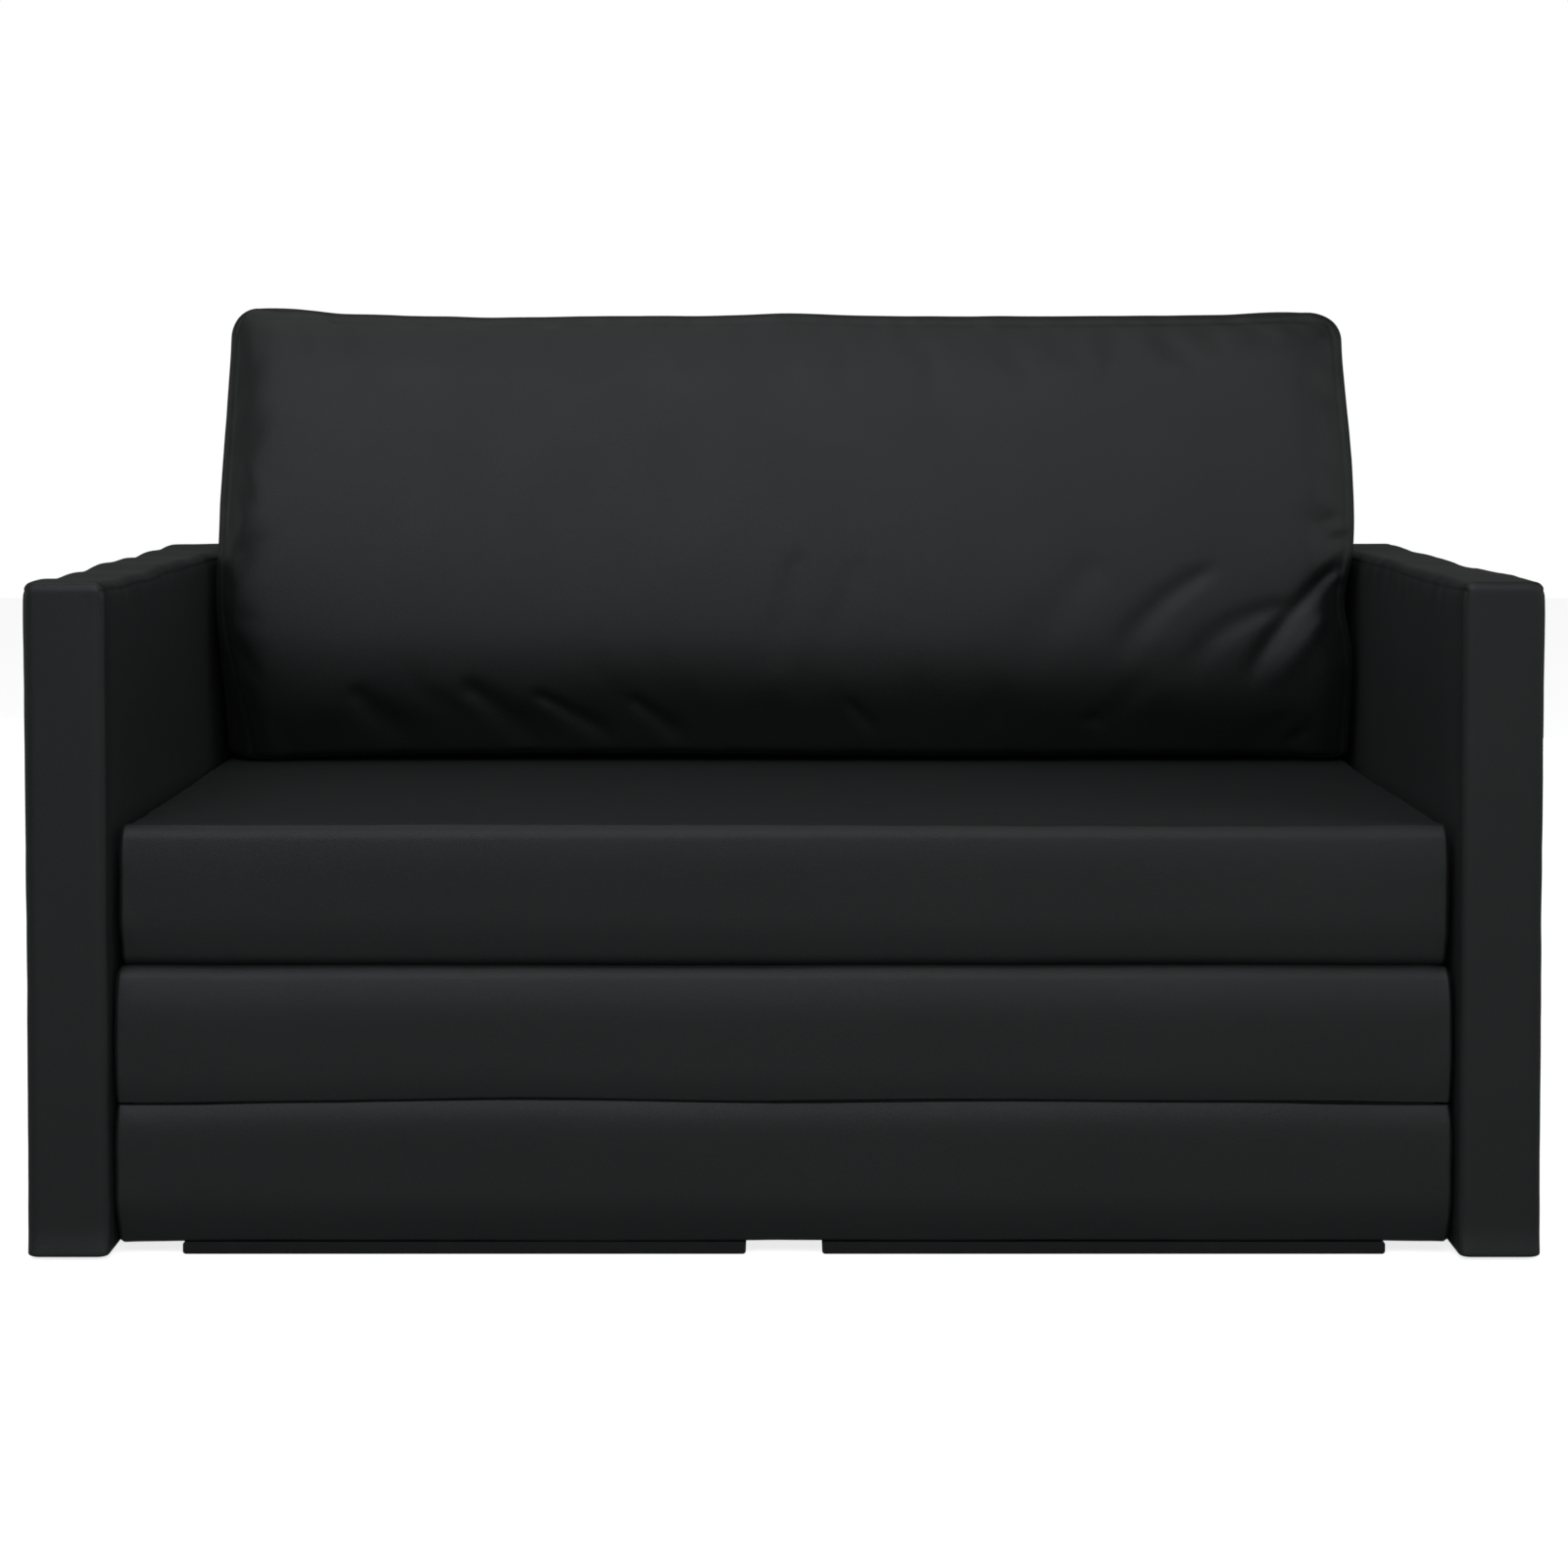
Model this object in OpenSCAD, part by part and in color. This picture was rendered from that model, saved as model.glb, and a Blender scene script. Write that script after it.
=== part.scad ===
// Two-seat fold-out sofa bed: a U of upholstered panels around a three-slab accordion mattress,
// with one loose back cushion standing on the seat. Millimetres, +Z up, the front faces -Y, and the
// origin is on the floor at the centre of the footprint.

/* [Overall] */
// Width over the two arms
overall_w = 1220; // [1120:10:1500]
// Depth from the arm fronts to the rear face
overall_d = 735; // [700:5:800]
// Height of the arms and of the back panel
arm_h = 545; // [500:5:620]
// Thickness of an upholstered arm or back panel
panel_t = 66; // [62:1:80]

/* [Mattress] */
// Thickness of the lower slab
lower_t = 110; // [90:1:115]
// Thickness of the middle slab
middle_t = 109; // [90:1:115]
// Thickness of the seat slab
top_t = 113; // [90:1:120]
// How far the slab fronts stand behind the arm fronts
slab_setback = 10; // [8:1:30]
// How much further the seat slab stands back
top_setback = 8; // [0:1:20]
// Gap between a slab and an arm
slab_side_gap = 4; // [2:0.5:8]
// Thickness of a base board under the lower slab
board_t = 10; // [8:1:12]

/* [Cushion] */
// Height of the back cushion
cushion_h = 424; // [380:2:480]
// Thickness of the cushion at its base
cushion_t = 150; // [130:2:170]
// How much thinner the cushion is at its top
cushion_taper = 34; // [0:2:50]

/* [Hidden] */
$fn = 48;

// The layers of a panel, from the outside in
skin_t = 1.5;
pad_t = 12;
sheet_t = 3;
timber_t = panel_t - 2 * (skin_t + pad_t + sheet_t);
timber_w = 38;
fit = 0.1;
panel_edge_r = 12;
back_side_r = 4;

half_w = overall_w / 2;
arm_x = half_w - panel_t;
front_y = -overall_d / 2;
rear_y = overall_d / 2;
back_y = rear_y - panel_t;
back_half = arm_x - 0.5;
glide_h = 2;
panel_h = arm_h - glide_h;
layers = skin_t + pad_t;
ones = [1, 1, 1];
timber_z0 = glide_h + skin_t;
timber_z1 = arm_h - layers;
middle_rail_z = timber_z0 + 0.48 * (timber_z1 - timber_z0);

// The slab stack: the two crease axes lie 2 mm outside the slab faces
tape_t = 2.5;
leaf_gap = 2;
crease_lead = 2;
slab_half = arm_x - slab_side_gap;
slab_front = front_y + slab_setback;
slab_rear = back_y - 4;
lower_z = board_t + tape_t;
middle_z = lower_z + lower_t + leaf_gap;
top_z = middle_z + middle_t + leaf_gap;
seat_z = top_z + top_t;
front_crease = [slab_front - crease_lead, middle_z - leaf_gap / 2];
rear_crease = [slab_rear + crease_lead, top_z - leaf_gap / 2];
slab_edge_r = 16;
slab_side_r = 12;
top_narrower = 3;

// Leaves of the fabric hinges
leaf_w = 36;
leaf_t = 0.6;
leaf_lift = 0.05;
bead_r = 0.8;
leaf_half = slab_half - 14;

// Base boards, and the strips that hold the lower slab on them
board_in = 31;
board_out = slab_half - 52;
board_front = front_y + 22;
board_rear = slab_rear - 12;
board_edge_r = 2.5;
strip_w = 50;
strip_places = [0.22, 0.62];
strip_front = board_front + 40;
strip_rear = slab_rear - 56.2;

// How much wider than its screw or bolt a hole is: in cloth and foam, in timber a bolt passes, and in threads
loose_hole = 0.3;
bolt_hole = 0.2;
thread_hole = 0.05;

// Knock-down fittings. Heads, flanges, barrels and sockets are [radius, length]
bolt_r = 4;
bolt_len = 90;
bolt_head = [6.5, 5];
bolt_socket = [3, 3.5];
bolt_y = rear_y - panel_t / 2;
bolt_heights = [0.22 * arm_h, 0.76 * arm_h];
washer_r = 10;
washer_t = 1.6;
back_post_x = back_half - skin_t - timber_w;
bolt_x = back_post_x - washer_t;
tee_flange = [9.5, 1.2];
tee_barrel = [5, 11];
tee_x = half_w - layers - sheet_t - fit;
confirmat_r = 3.5;
confirmat_len = 70;
confirmat_head = [5, 4];
glide_r = 11;
nail_r = 1;
nail_len = 12;
glide_spots = [for (s = [-1, 1]) for (p = [
    [s * (half_w - panel_t / 2), front_y + layers + timber_w / 2],
    [s * (half_w - panel_t / 2), rear_y - layers - timber_w / 2],
    [s * (back_post_x + timber_w / 2), bolt_y]]) p];

// Angle brackets that hold the base boards to the back panel
bracket_x = [-0.8, -0.28, 0.28, 0.8] * board_out;
bracket_w = 34;
bracket_leg = 42;
bracket_t = 2;
bracket_y = back_y - 2 * fit;
screw_r = 1.75;
screw_head = [3.5, 1.5];
screw_pair = [-9, 9];
screw_z = timber_z0 + timber_w / 2;
rear_screw_len = 32;
board_screw_len = 9;
board_screw_y = bracket_y - 30;
drill_past = 5;

// Cushion
cushion_half = arm_x - 3;
cushion_z = seat_z + 0.5;
cushion_rear = back_y - 1;
cushion_top = cushion_z + cushion_h;
cushion_front = cushion_rear - cushion_t;
belly = 30;
belly_z = cushion_z + 0.27 * cushion_h;
cushion_chamfer = 26;
cushion_skin = 1.2;
cushion_corner_r = 36;
cushion_front_r = 30;
cushion_top_r = 34;
chamfer_r = 4;
belly_r = 160;

// Zip along the lower rear edge of the cushion, on its 45 degree chamfer
zip_half = cushion_half - 60;
zip_w = 24;
zip_tape_t = 1;
zip_teeth = [6, 1.2];
slider_size = [14, 9, 2.4];
slider_r = 3;
slider_lift = 0.4;
slider_from_end = 14;
bridge_size = [6, 3, 1.4];
bridge_sunk = 0.2;
tab_size = [24, 7, 1.2];
tab_r = 2.5;

// What stands where
outer_sheet_x = half_w - layers - sheet_t;
inner_sheet_x = arm_x + layers;
front_post_y = front_y + layers;
rear_post_y = rear_y - layers - timber_w;
top_rail_z = timber_z1 - timber_w;
arm_middle_z = middle_rail_z - timber_w / 2;
arm_mid_x = half_w - panel_t / 2;
arm_rail_heights = [timber_z0 + timber_w / 2, middle_rail_z, timber_z1 - timber_w / 2];
rear_sheet_y = rear_y - layers - sheet_t;
top_front = slab_front + top_setback;
top_half = slab_half - top_narrower;

function unit(v) = v / norm(v);
// The points of an arc of radius r that rounds the corner b of the path a, b, c
function corner_arc(a, b, c, r, n = 8) =
    let (u = unit(a - b), v = unit(c - b), half = acos(u * v) / 2, reach = r / tan(half),
         centre = b + unit(u + v) * r / sin(half),
         from = b + u * reach - centre, to = b + v * reach - centre,
         a0 = atan2(from.y, from.x), sweep = (atan2(to.y, to.x) - a0 + 540) % 360 - 180)
    [for (i = [0 : n]) centre + r * [cos(a0 + sweep * i / n), sin(a0 + sweep * i / n)]];
// Each corner is [x, y, radius]
function rounded_outline(k) =
    let (n = len(k), flat = [for (p = k) [p.x, p.y]])
    [for (i = [0 : n - 1]) each corner_arc(flat[(i + n - 1) % n], flat[i], flat[(i + 1) % n], k[i].z)];

module rounded_rect(size, r) {
    translate([r, 0]) square([size.x - 2 * r, size.y]);
    translate([0, r]) square([size.x, size.y - 2 * r]);
    for (x = [r, size.x - r], y = [r, size.y - r]) translate([x, y]) circle(r);
}

// Puts a drawing of the YZ plane where it belongs and extrudes it along X
module along_x(x0, x1) {
    translate([x0, 0, 0]) rotate([90, 0, 90]) linear_extrude(x1 - x0) children();
}

// Puts a drawing of the XZ plane where it belongs and extrudes it along Y
module along_y(y0, y1) {
    translate([0, y1, 0]) rotate([90, 0, 0]) linear_extrude(y1 - y0) children();
}

// A box with its edges rounded: profile_r along X, side_r along Y and Z
module soft_block(lo, hi, profile_r, side_r) {
    size = hi - lo;
    intersection() {
        along_x(lo.x, hi.x) translate([lo.y, lo.z]) rounded_rect([size.y, size.z], profile_r);
        along_y(lo.y - 1, hi.y + 1) translate([lo.x, lo.z]) rounded_rect([size.x, size.z], side_r);
        translate([lo.x, lo.y, lo.z - 1]) linear_extrude(size.z + 2) rounded_rect([size.x, size.y], side_r);
    }
}

module box(lo, hi) {
    translate(lo) cube(hi - lo);
}

// A box that stands clear of its nominal faces, so that stacked pieces never share volume
module snug_box(lo, hi) {
    box(lo + fit * ones, hi - fit * ones);
}

module rod_x(p, r, len) {
    translate(p) rotate([0, 90, 0]) cylinder(r = r, h = len);
}

module rod_y(p, r, len) {
    translate(p) rotate([-90, 0, 0]) cylinder(r = r, h = len);
}

// The left side is the right side mirrored
module on_side(side) {
    if (side < 0) mirror([1, 0, 0]) children();
    else children();
}

/* ---- holes that the fittings need ---- */

module bolt_holes(clearance) {
    for (z = bolt_heights)
        rod_x([back_post_x - 20, bolt_y, z], bolt_r + clearance, bolt_len + 16);
}

module tee_nut_seats() {
    for (z = bolt_heights) {
        rod_x([tee_x - tee_barrel[1] - 1, bolt_y, z], tee_barrel[0] + fit, tee_barrel[1]);
        rod_x([tee_x - tee_flange[1] - fit, bolt_y, z], tee_flange[0] + bolt_hole, timber_t);
    }
}

module nail_holes() {
    for (p = glide_spots) translate([p.x, p.y, 0]) cylinder(r = nail_r + fit, h = glide_h + nail_len + 1);
}

module rear_screw_holes(clearance) {
    for (x = bracket_x, dx = screw_pair)
        rod_y([x + dx, bracket_y - drill_past, screw_z], screw_r + clearance,
              rear_screw_len + drill_past + 3);
}

/* ---- confirmat screws of one arm frame, drawn at their true size or as their holes ---- */

module confirmat(clearance) {
    cylinder(r = confirmat_r + clearance, h = confirmat_len + clearance);
    translate([0, 0, -6 * clearance])
        cylinder(r = confirmat_head[0] + clearance, h = confirmat_head[1] + 7 * clearance);
}

module arm_confirmats(clearance) {
    for (z = arm_rail_heights) {
        translate([arm_mid_x, front_y + layers + 2 * fit, z]) rotate([-90, 0, 0]) confirmat(clearance);
        translate([arm_mid_x, rear_y - layers - 2 * fit, z]) rotate([90, 0, 0]) confirmat(clearance);
    }
}

module back_confirmats(clearance) {
    for (s = [-1, 1], z = [arm_rail_heights[0], arm_rail_heights[2]])
        translate([s * (back_half - skin_t - 2 * fit), bolt_y, z])
            rotate([0, -90 * s, 0]) confirmat(clearance);
    translate([0, bolt_y, timber_z0 + 2 * fit]) confirmat(clearance);
    translate([0, bolt_y, timber_z1 - 2 * fit]) rotate([180, 0, 0]) confirmat(clearance);
}

/* ---- right arm ---- */

module arm_cover() {
    lo = [arm_x, front_y, glide_h];
    hi = [half_w, rear_y, arm_h];
    color("#232524") difference() {
        soft_block(lo, hi, panel_edge_r, panel_edge_r);
        soft_block(lo + skin_t * ones, hi - skin_t * ones, panel_edge_r - skin_t, panel_edge_r - skin_t);
        nail_holes();
        bolt_holes(loose_hole);
    }
}

module arm_padding() {
    grow = skin_t + fit;
    lo = [arm_x + grow, front_y + grow, glide_h + grow];
    hi = [half_w - grow, rear_y - grow, arm_h - grow];
    color("#e9dca8") difference() {
        soft_block(lo, hi, panel_edge_r - grow, panel_edge_r - grow);
        box([arm_x + layers, front_y + layers, 0], [half_w - layers, rear_y - layers, timber_z1]);
        bolt_holes(loose_hole);
    }
}

module arm_sheet(x) {
    color("#8a6a45") difference() {
        snug_box([x, front_y + layers, timber_z0], [x + sheet_t, rear_y - layers, timber_z1]);
        if (x < arm_mid_x) bolt_holes(loose_hole);
    }
}

module arm_post(y) {
    x0 = arm_x + layers + sheet_t;
    color("#d9bd8f") difference() {
        snug_box([x0, y, timber_z0], [x0 + timber_t, y + timber_w, timber_z1]);
        arm_confirmats(thread_hole);
        nail_holes();
        bolt_holes(bolt_hole);
        tee_nut_seats();
    }
}

module arm_rail(z) {
    x0 = arm_x + layers + sheet_t;
    inset = layers + timber_w;
    color("#d9bd8f") difference() {
        snug_box([x0, front_y + inset, z], [x0 + timber_t, rear_y - inset, z + timber_w]);
        arm_confirmats(thread_hole);
    }
}

/* ---- back panel ---- */

module back_cover() {
    lo = [-back_half, back_y, glide_h];
    hi = [back_half, rear_y, arm_h];
    hollow = hi - lo - 2 * skin_t * ones;
    color("#232524") difference() {
        soft_block(lo, hi, panel_edge_r, back_side_r);
        along_x(lo.x + skin_t, hi.x - skin_t) translate([lo.y + skin_t, lo.z + skin_t])
            rounded_rect([hollow.y, hollow.z], panel_edge_r - skin_t);
        nail_holes();
        for (s = [-1, 1]) on_side(s) bolt_holes(loose_hole);
        rear_screw_holes(loose_hole);
    }
}

module back_padding() {
    grow = skin_t + fit;
    lo = [-back_half + grow, back_y + grow, glide_h + grow];
    hi = [back_half - grow, rear_y - grow, arm_h - grow];
    hollow = back_half - skin_t;
    color("#e9dca8") difference() {
        soft_block(lo, hi, panel_edge_r - grow, back_side_r - grow);
        box([-hollow, back_y + layers, 0], [hollow, rear_y - layers, timber_z1]);
        rear_screw_holes(loose_hole);
    }
}

module back_sheet(y) {
    reach = back_half - skin_t;
    color("#8a6a45") difference() {
        snug_box([-reach, y, timber_z0], [reach, y + sheet_t, timber_z1]);
        if (y < bolt_y) rear_screw_holes(loose_hole);
    }
}

module back_post() {
    color("#d9bd8f") difference() {
        snug_box([back_post_x, back_y + layers + sheet_t, timber_z0],
                 [back_post_x + timber_w, rear_y - layers - sheet_t, timber_z1]);
        bolt_holes(bolt_hole);
        back_confirmats(thread_hole);
        nail_holes();
    }
}

module back_rail(z) {
    color("#d9bd8f") difference() {
        snug_box([-back_post_x, back_y + layers + sheet_t, z],
                 [back_post_x, rear_y - layers - sheet_t, z + timber_w]);
        back_confirmats(thread_hole);
        rear_screw_holes(thread_hole);
    }
}

module back_centre_stile() {
    color("#d9bd8f") difference() {
        snug_box([-timber_w / 2, back_y + layers + sheet_t, timber_z0 + timber_w],
                 [timber_w / 2, rear_y - layers - sheet_t, timber_z1 - timber_w]);
        back_confirmats(thread_hole);
    }
}

/* ---- fittings ---- */

module confirmat_screws() {
    color("#b9bcc0") {
        for (s = [-1, 1]) on_side(s) arm_confirmats(0);
        back_confirmats(0);
    }
}

module connector_bolts() {
    color("#a9adb1") for (s = [-1, 1], z = bolt_heights) on_side(s) {
        rod_x([bolt_x - fit, bolt_y, z], bolt_r, bolt_len);
        difference() {
            rod_x([bolt_x - bolt_head[1] - fit, bolt_y, z], bolt_head[0], bolt_head[1]);
            translate([bolt_x - bolt_head[1] - 1, bolt_y, z]) rotate([0, 90, 0])
                cylinder(r = bolt_socket[0], h = bolt_socket[1], $fn = 6);
        }
    }
}

module bolt_washers() {
    color("#c2c5c8") for (s = [-1, 1], z = bolt_heights) on_side(s) difference() {
        rod_x([bolt_x, bolt_y, z], washer_r, washer_t);
        rod_x([bolt_x - 1, bolt_y, z], bolt_r + bolt_hole, washer_t + 2);
    }
}

module tee_nuts() {
    color("#c2c5c8") for (s = [-1, 1], z = bolt_heights) on_side(s) difference() {
        union() {
            rod_x([tee_x - tee_flange[1], bolt_y, z], tee_flange[0], tee_flange[1]);
            rod_x([tee_x - tee_barrel[1], bolt_y, z], tee_barrel[0], tee_barrel[1]);
        }
        rod_x([tee_x - tee_barrel[1] - 1, bolt_y, z], bolt_r + thread_hole, tee_barrel[1] + 3);
    }
}

module glides() {
    color("#18191a") for (p = glide_spots) translate([p.x, p.y, 0]) {
        cylinder(r1 = glide_r - 1, r2 = glide_r, h = 1);
        translate([0, 0, 1]) cylinder(r = glide_r, h = glide_h - 1);
        translate([0, 0, glide_h - 0.5]) cylinder(r = nail_r, h = nail_len);
    }
}

/* ---- base under the lower slab ---- */

module base_board() {
    color("#1d1e1e") difference() {
        along_y(board_front, board_rear) translate([board_in, 0])
            rounded_rect([board_out - board_in, board_t], board_edge_r);
        for (x = bracket_x, dx = screw_pair)
            translate([x + dx, board_screw_y, board_t - board_screw_len])
                cylinder(r = screw_r + thread_hole, h = board_t);
    }
}

module hook_and_loop_strips() {
    color("#2a2a2b") for (s = [-1, 1], place = strip_places) {
        x = s * (board_in + place * (board_out - board_in));
        snug_box([x - strip_w / 2, strip_front, board_t], [x + strip_w / 2, strip_rear, lower_z]);
    }
}

module angle_brackets() {
    color("#b9bcc0") for (x = bracket_x) difference() {
        union() {
            box([x - bracket_w / 2, bracket_y - bracket_leg, board_t + fit],
                [x + bracket_w / 2, bracket_y, board_t + bracket_t]);
            box([x - bracket_w / 2, bracket_y - bracket_t, board_t + fit],
                [x + bracket_w / 2, bracket_y, board_t + bracket_leg]);
        }
        for (dx = screw_pair) {
            translate([x + dx, board_screw_y, board_t - 1]) cylinder(r = screw_r + fit, h = drill_past);
            translate([x + dx, board_screw_y, board_t + bracket_t - screw_head[1] - fit])
                cylinder(r = screw_head[0] + fit, h = drill_past);
            rod_y([x + dx, bracket_y - drill_past, screw_z], screw_r + fit, drill_past + 3);
            rod_y([x + dx, bracket_y - drill_past, screw_z], screw_head[0] + fit,
                  drill_past - bracket_t + screw_head[1] + fit);
        }
    }
}

module bracket_screws() {
    color("#d5c26a") for (x = bracket_x, dx = screw_pair) {
        translate([x + dx, board_screw_y, board_t + bracket_t - board_screw_len]) {
            cylinder(r = screw_r, h = board_screw_len);
            translate([0, 0, board_screw_len - screw_head[1]])
                cylinder(r = screw_head[0], h = screw_head[1]);
        }
        rod_y([x + dx, bracket_y - bracket_t, screw_z], screw_r, rear_screw_len);
        rod_y([x + dx, bracket_y - bracket_t, screw_z], screw_head[0], screw_head[1]);
    }
}

/* ---- mattress slabs ---- */

module slab_cover(z0, t, front, half) {
    lo = [-half, front, z0];
    hi = [half, slab_rear, z0 + t];
    color("#262827") difference() {
        soft_block(lo, hi, slab_edge_r, slab_side_r);
        soft_block(lo + skin_t * ones, hi - skin_t * ones, slab_edge_r - skin_t, slab_side_r - skin_t);
    }
}

module slab_core(z0, t, front, half) {
    grow = skin_t + fit;
    lo = [-half, front, z0] + grow * ones;
    hi = [half, slab_rear, z0 + t] - grow * ones;
    color("#ecdfae") soft_block(lo, hi, slab_edge_r - grow, slab_side_r - grow);
}

// One leaf of a fabric hinge: a flap against a slab's face, and if bead is true the rolled edge on the
// crease. dir is 1 where the flap runs towards +Y and -1 where it runs towards -Y.
module hinge_leaf(crease, dir, above, bead) {
    start = bead ? 0 : bead_r + 0.5;
    y0 = crease[0] + dir * start;
    y1 = crease[0] + dir * leaf_w;
    z0 = crease[1] + (above ? leaf_gap / 2 - leaf_t - leaf_lift : leaf_lift - leaf_gap / 2);
    color("#1f2120") {
        box([-leaf_half, min(y0, y1), z0], [leaf_half, max(y0, y1), z0 + leaf_t]);
        if (bead) rod_x([-leaf_half, crease[0], crease[1]], bead_r, 2 * leaf_half);
    }
}

/* ---- cushion ---- */

// Side view of the cushion, set in by inset
function cushion_outline(inset) =
    let (flank = cushion_chamfer + inset * tan(22.5))
    rounded_outline([
        [cushion_front + inset, cushion_z + inset, cushion_front_r - inset],
        [cushion_rear - flank, cushion_z + inset, chamfer_r],
        [cushion_rear - inset, cushion_z + flank, chamfer_r],
        [cushion_rear - inset, cushion_top - inset, cushion_top_r - inset],
        [cushion_front + cushion_taper + inset, cushion_top - inset, cushion_top_r - inset],
        [cushion_front - belly + inset, belly_z, belly_r]]);

module cushion_form(inset) {
    reach = cushion_half - inset;
    r = cushion_corner_r - inset;
    intersection() {
        along_x(-reach, reach) polygon(cushion_outline(inset));
        along_y(cushion_front - belly, cushion_rear + 1) translate([-reach, cushion_z + inset])
            rounded_rect([2 * reach, cushion_h - 2 * inset], r);
    }
}

module cushion_cover() {
    color("#2c2e2f") difference() {
        cushion_form(0);
        cushion_form(cushion_skin);
    }
}

module cushion_filling() {
    color("#f2efe6") cushion_form(cushion_skin + fit);
}

// Stands on the middle of the chamfer, with local Z pointing out of the cushion
module on_chamfer(x) {
    half = cushion_chamfer / 2;
    translate([x, cushion_rear - half, cushion_z + half]) rotate([-135, 0, 0]) children();
}

module cushion_zip_tape() {
    color("#161717") on_chamfer(0) {
        translate([-zip_half, -zip_w / 2, fit]) cube([2 * zip_half, zip_w, zip_tape_t]);
        translate([-zip_half, -zip_teeth[0] / 2, zip_tape_t])
            cube([2 * zip_half, zip_teeth[0], zip_teeth[1]]);
    }
}

module zip_slider() {
    base = zip_tape_t + zip_teeth[1] + slider_lift;
    bridge_z = base + slider_size.z - bridge_sunk;
    color("#3a3c3e") on_chamfer(-zip_half + slider_from_end) {
        translate([-slider_size.x / 2, -slider_size.y / 2, base]) linear_extrude(slider_size.z)
            rounded_rect([slider_size.x, slider_size.y], slider_r);
        translate([-bridge_size.x / 2, -bridge_size.y / 2, bridge_z]) cube(bridge_size);
        translate([-2, -tab_size.y / 2, bridge_z + bridge_size.z - fit]) linear_extrude(tab_size.z)
            rounded_rect([tab_size.x, tab_size.y], tab_r);
    }
}

on_side(-1) arm_cover();  // left_arm_cover
on_side(-1) arm_padding();  // left_arm_padding
on_side(-1) arm_sheet(outer_sheet_x);  // left_arm_outer_sheet
on_side(-1) arm_sheet(inner_sheet_x);  // left_arm_inner_sheet
on_side(-1) arm_post(front_post_y);  // left_arm_front_post
on_side(-1) arm_post(rear_post_y);  // left_arm_rear_post
on_side(-1) arm_rail(top_rail_z);  // left_arm_top_rail
on_side(-1) arm_rail(arm_middle_z);  // left_arm_middle_rail
on_side(-1) arm_rail(timber_z0);  // left_arm_bottom_rail
arm_cover();  // right_arm_cover
arm_padding();  // right_arm_padding
arm_sheet(outer_sheet_x);  // right_arm_outer_sheet
arm_sheet(inner_sheet_x);  // right_arm_inner_sheet
arm_post(front_post_y);  // right_arm_front_post
arm_post(rear_post_y);  // right_arm_rear_post
arm_rail(top_rail_z);  // right_arm_top_rail
arm_rail(arm_middle_z);  // right_arm_middle_rail
arm_rail(timber_z0);  // right_arm_bottom_rail
back_cover();
back_padding();
back_sheet(back_y + layers);  // back_front_sheet
back_sheet(rear_sheet_y);  // back_rear_sheet
on_side(-1) back_post();  // back_left_post
back_post();  // back_right_post
back_rail(top_rail_z);  // back_top_rail
back_rail(timber_z0);  // back_bottom_rail
back_centre_stile();
confirmat_screws();
connector_bolts();
bolt_washers();
tee_nuts();
glides();
on_side(-1) base_board();  // left_base_board
base_board();  // right_base_board
hook_and_loop_strips();
angle_brackets();
bracket_screws();
slab_cover(lower_z, lower_t, slab_front, slab_half);  // lower_slab_cover
slab_core(lower_z, lower_t, slab_front, slab_half);  // lower_slab_core
hinge_leaf(front_crease, 1, false, false);  // front_hinge_lower_leaf
slab_cover(middle_z, middle_t, slab_front, slab_half);  // middle_slab_cover
slab_core(middle_z, middle_t, slab_front, slab_half);  // middle_slab_core
hinge_leaf(front_crease, 1, true, true);  // front_hinge_upper_leaf
hinge_leaf(rear_crease, -1, false, false);  // rear_hinge_lower_leaf
slab_cover(top_z, top_t, top_front, top_half);  // top_slab_cover
slab_core(top_z, top_t, top_front, top_half);  // top_slab_core
hinge_leaf(rear_crease, -1, true, true);  // rear_hinge_upper_leaf
cushion_cover();
cushion_filling();
cushion_zip_tape();
zip_slider();
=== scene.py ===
"""The looks of a two-seat fold-out sofa bed in black faux leather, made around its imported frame.

Metres, +Z up, the front faces -Y, and the origin is on the floor at the centre of the footprint. Each
upholstered part is a grid of quads on a rounded box: it is blown up by a cloth simulation, laid against
what it rests on, and then gets its seams, creases and folds. The timber, boards and fittings keep their
CAD meshes and get better materials.
"""
import math

import bmesh
import bpy
import numpy as np
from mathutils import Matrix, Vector

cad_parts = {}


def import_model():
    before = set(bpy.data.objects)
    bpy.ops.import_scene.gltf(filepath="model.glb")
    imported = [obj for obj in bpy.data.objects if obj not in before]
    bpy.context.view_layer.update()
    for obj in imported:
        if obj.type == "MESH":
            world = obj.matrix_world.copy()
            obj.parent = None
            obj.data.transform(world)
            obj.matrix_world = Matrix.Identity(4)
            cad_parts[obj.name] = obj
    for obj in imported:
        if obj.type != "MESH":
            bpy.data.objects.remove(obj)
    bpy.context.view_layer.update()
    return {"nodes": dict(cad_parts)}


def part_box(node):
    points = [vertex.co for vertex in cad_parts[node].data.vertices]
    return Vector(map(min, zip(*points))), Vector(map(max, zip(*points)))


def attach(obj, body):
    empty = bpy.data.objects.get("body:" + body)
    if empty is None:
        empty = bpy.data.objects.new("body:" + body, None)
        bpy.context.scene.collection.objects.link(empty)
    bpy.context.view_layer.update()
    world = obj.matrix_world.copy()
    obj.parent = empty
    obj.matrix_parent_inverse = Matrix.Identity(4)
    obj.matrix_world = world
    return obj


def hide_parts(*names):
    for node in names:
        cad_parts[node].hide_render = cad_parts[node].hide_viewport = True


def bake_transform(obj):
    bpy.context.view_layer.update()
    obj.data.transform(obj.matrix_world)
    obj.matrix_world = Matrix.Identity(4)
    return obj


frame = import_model()
scene = bpy.context.scene

MM = 0.001
X, Y, Z = 0, 1, 2
SIM_FRAMES = 20


def smooth(t):
    """0 below 0, 1 above 1, and a smooth step between."""
    t = np.clip(t, 0.0, 1.0)
    return t * t * (3 - 2 * t)


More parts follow.
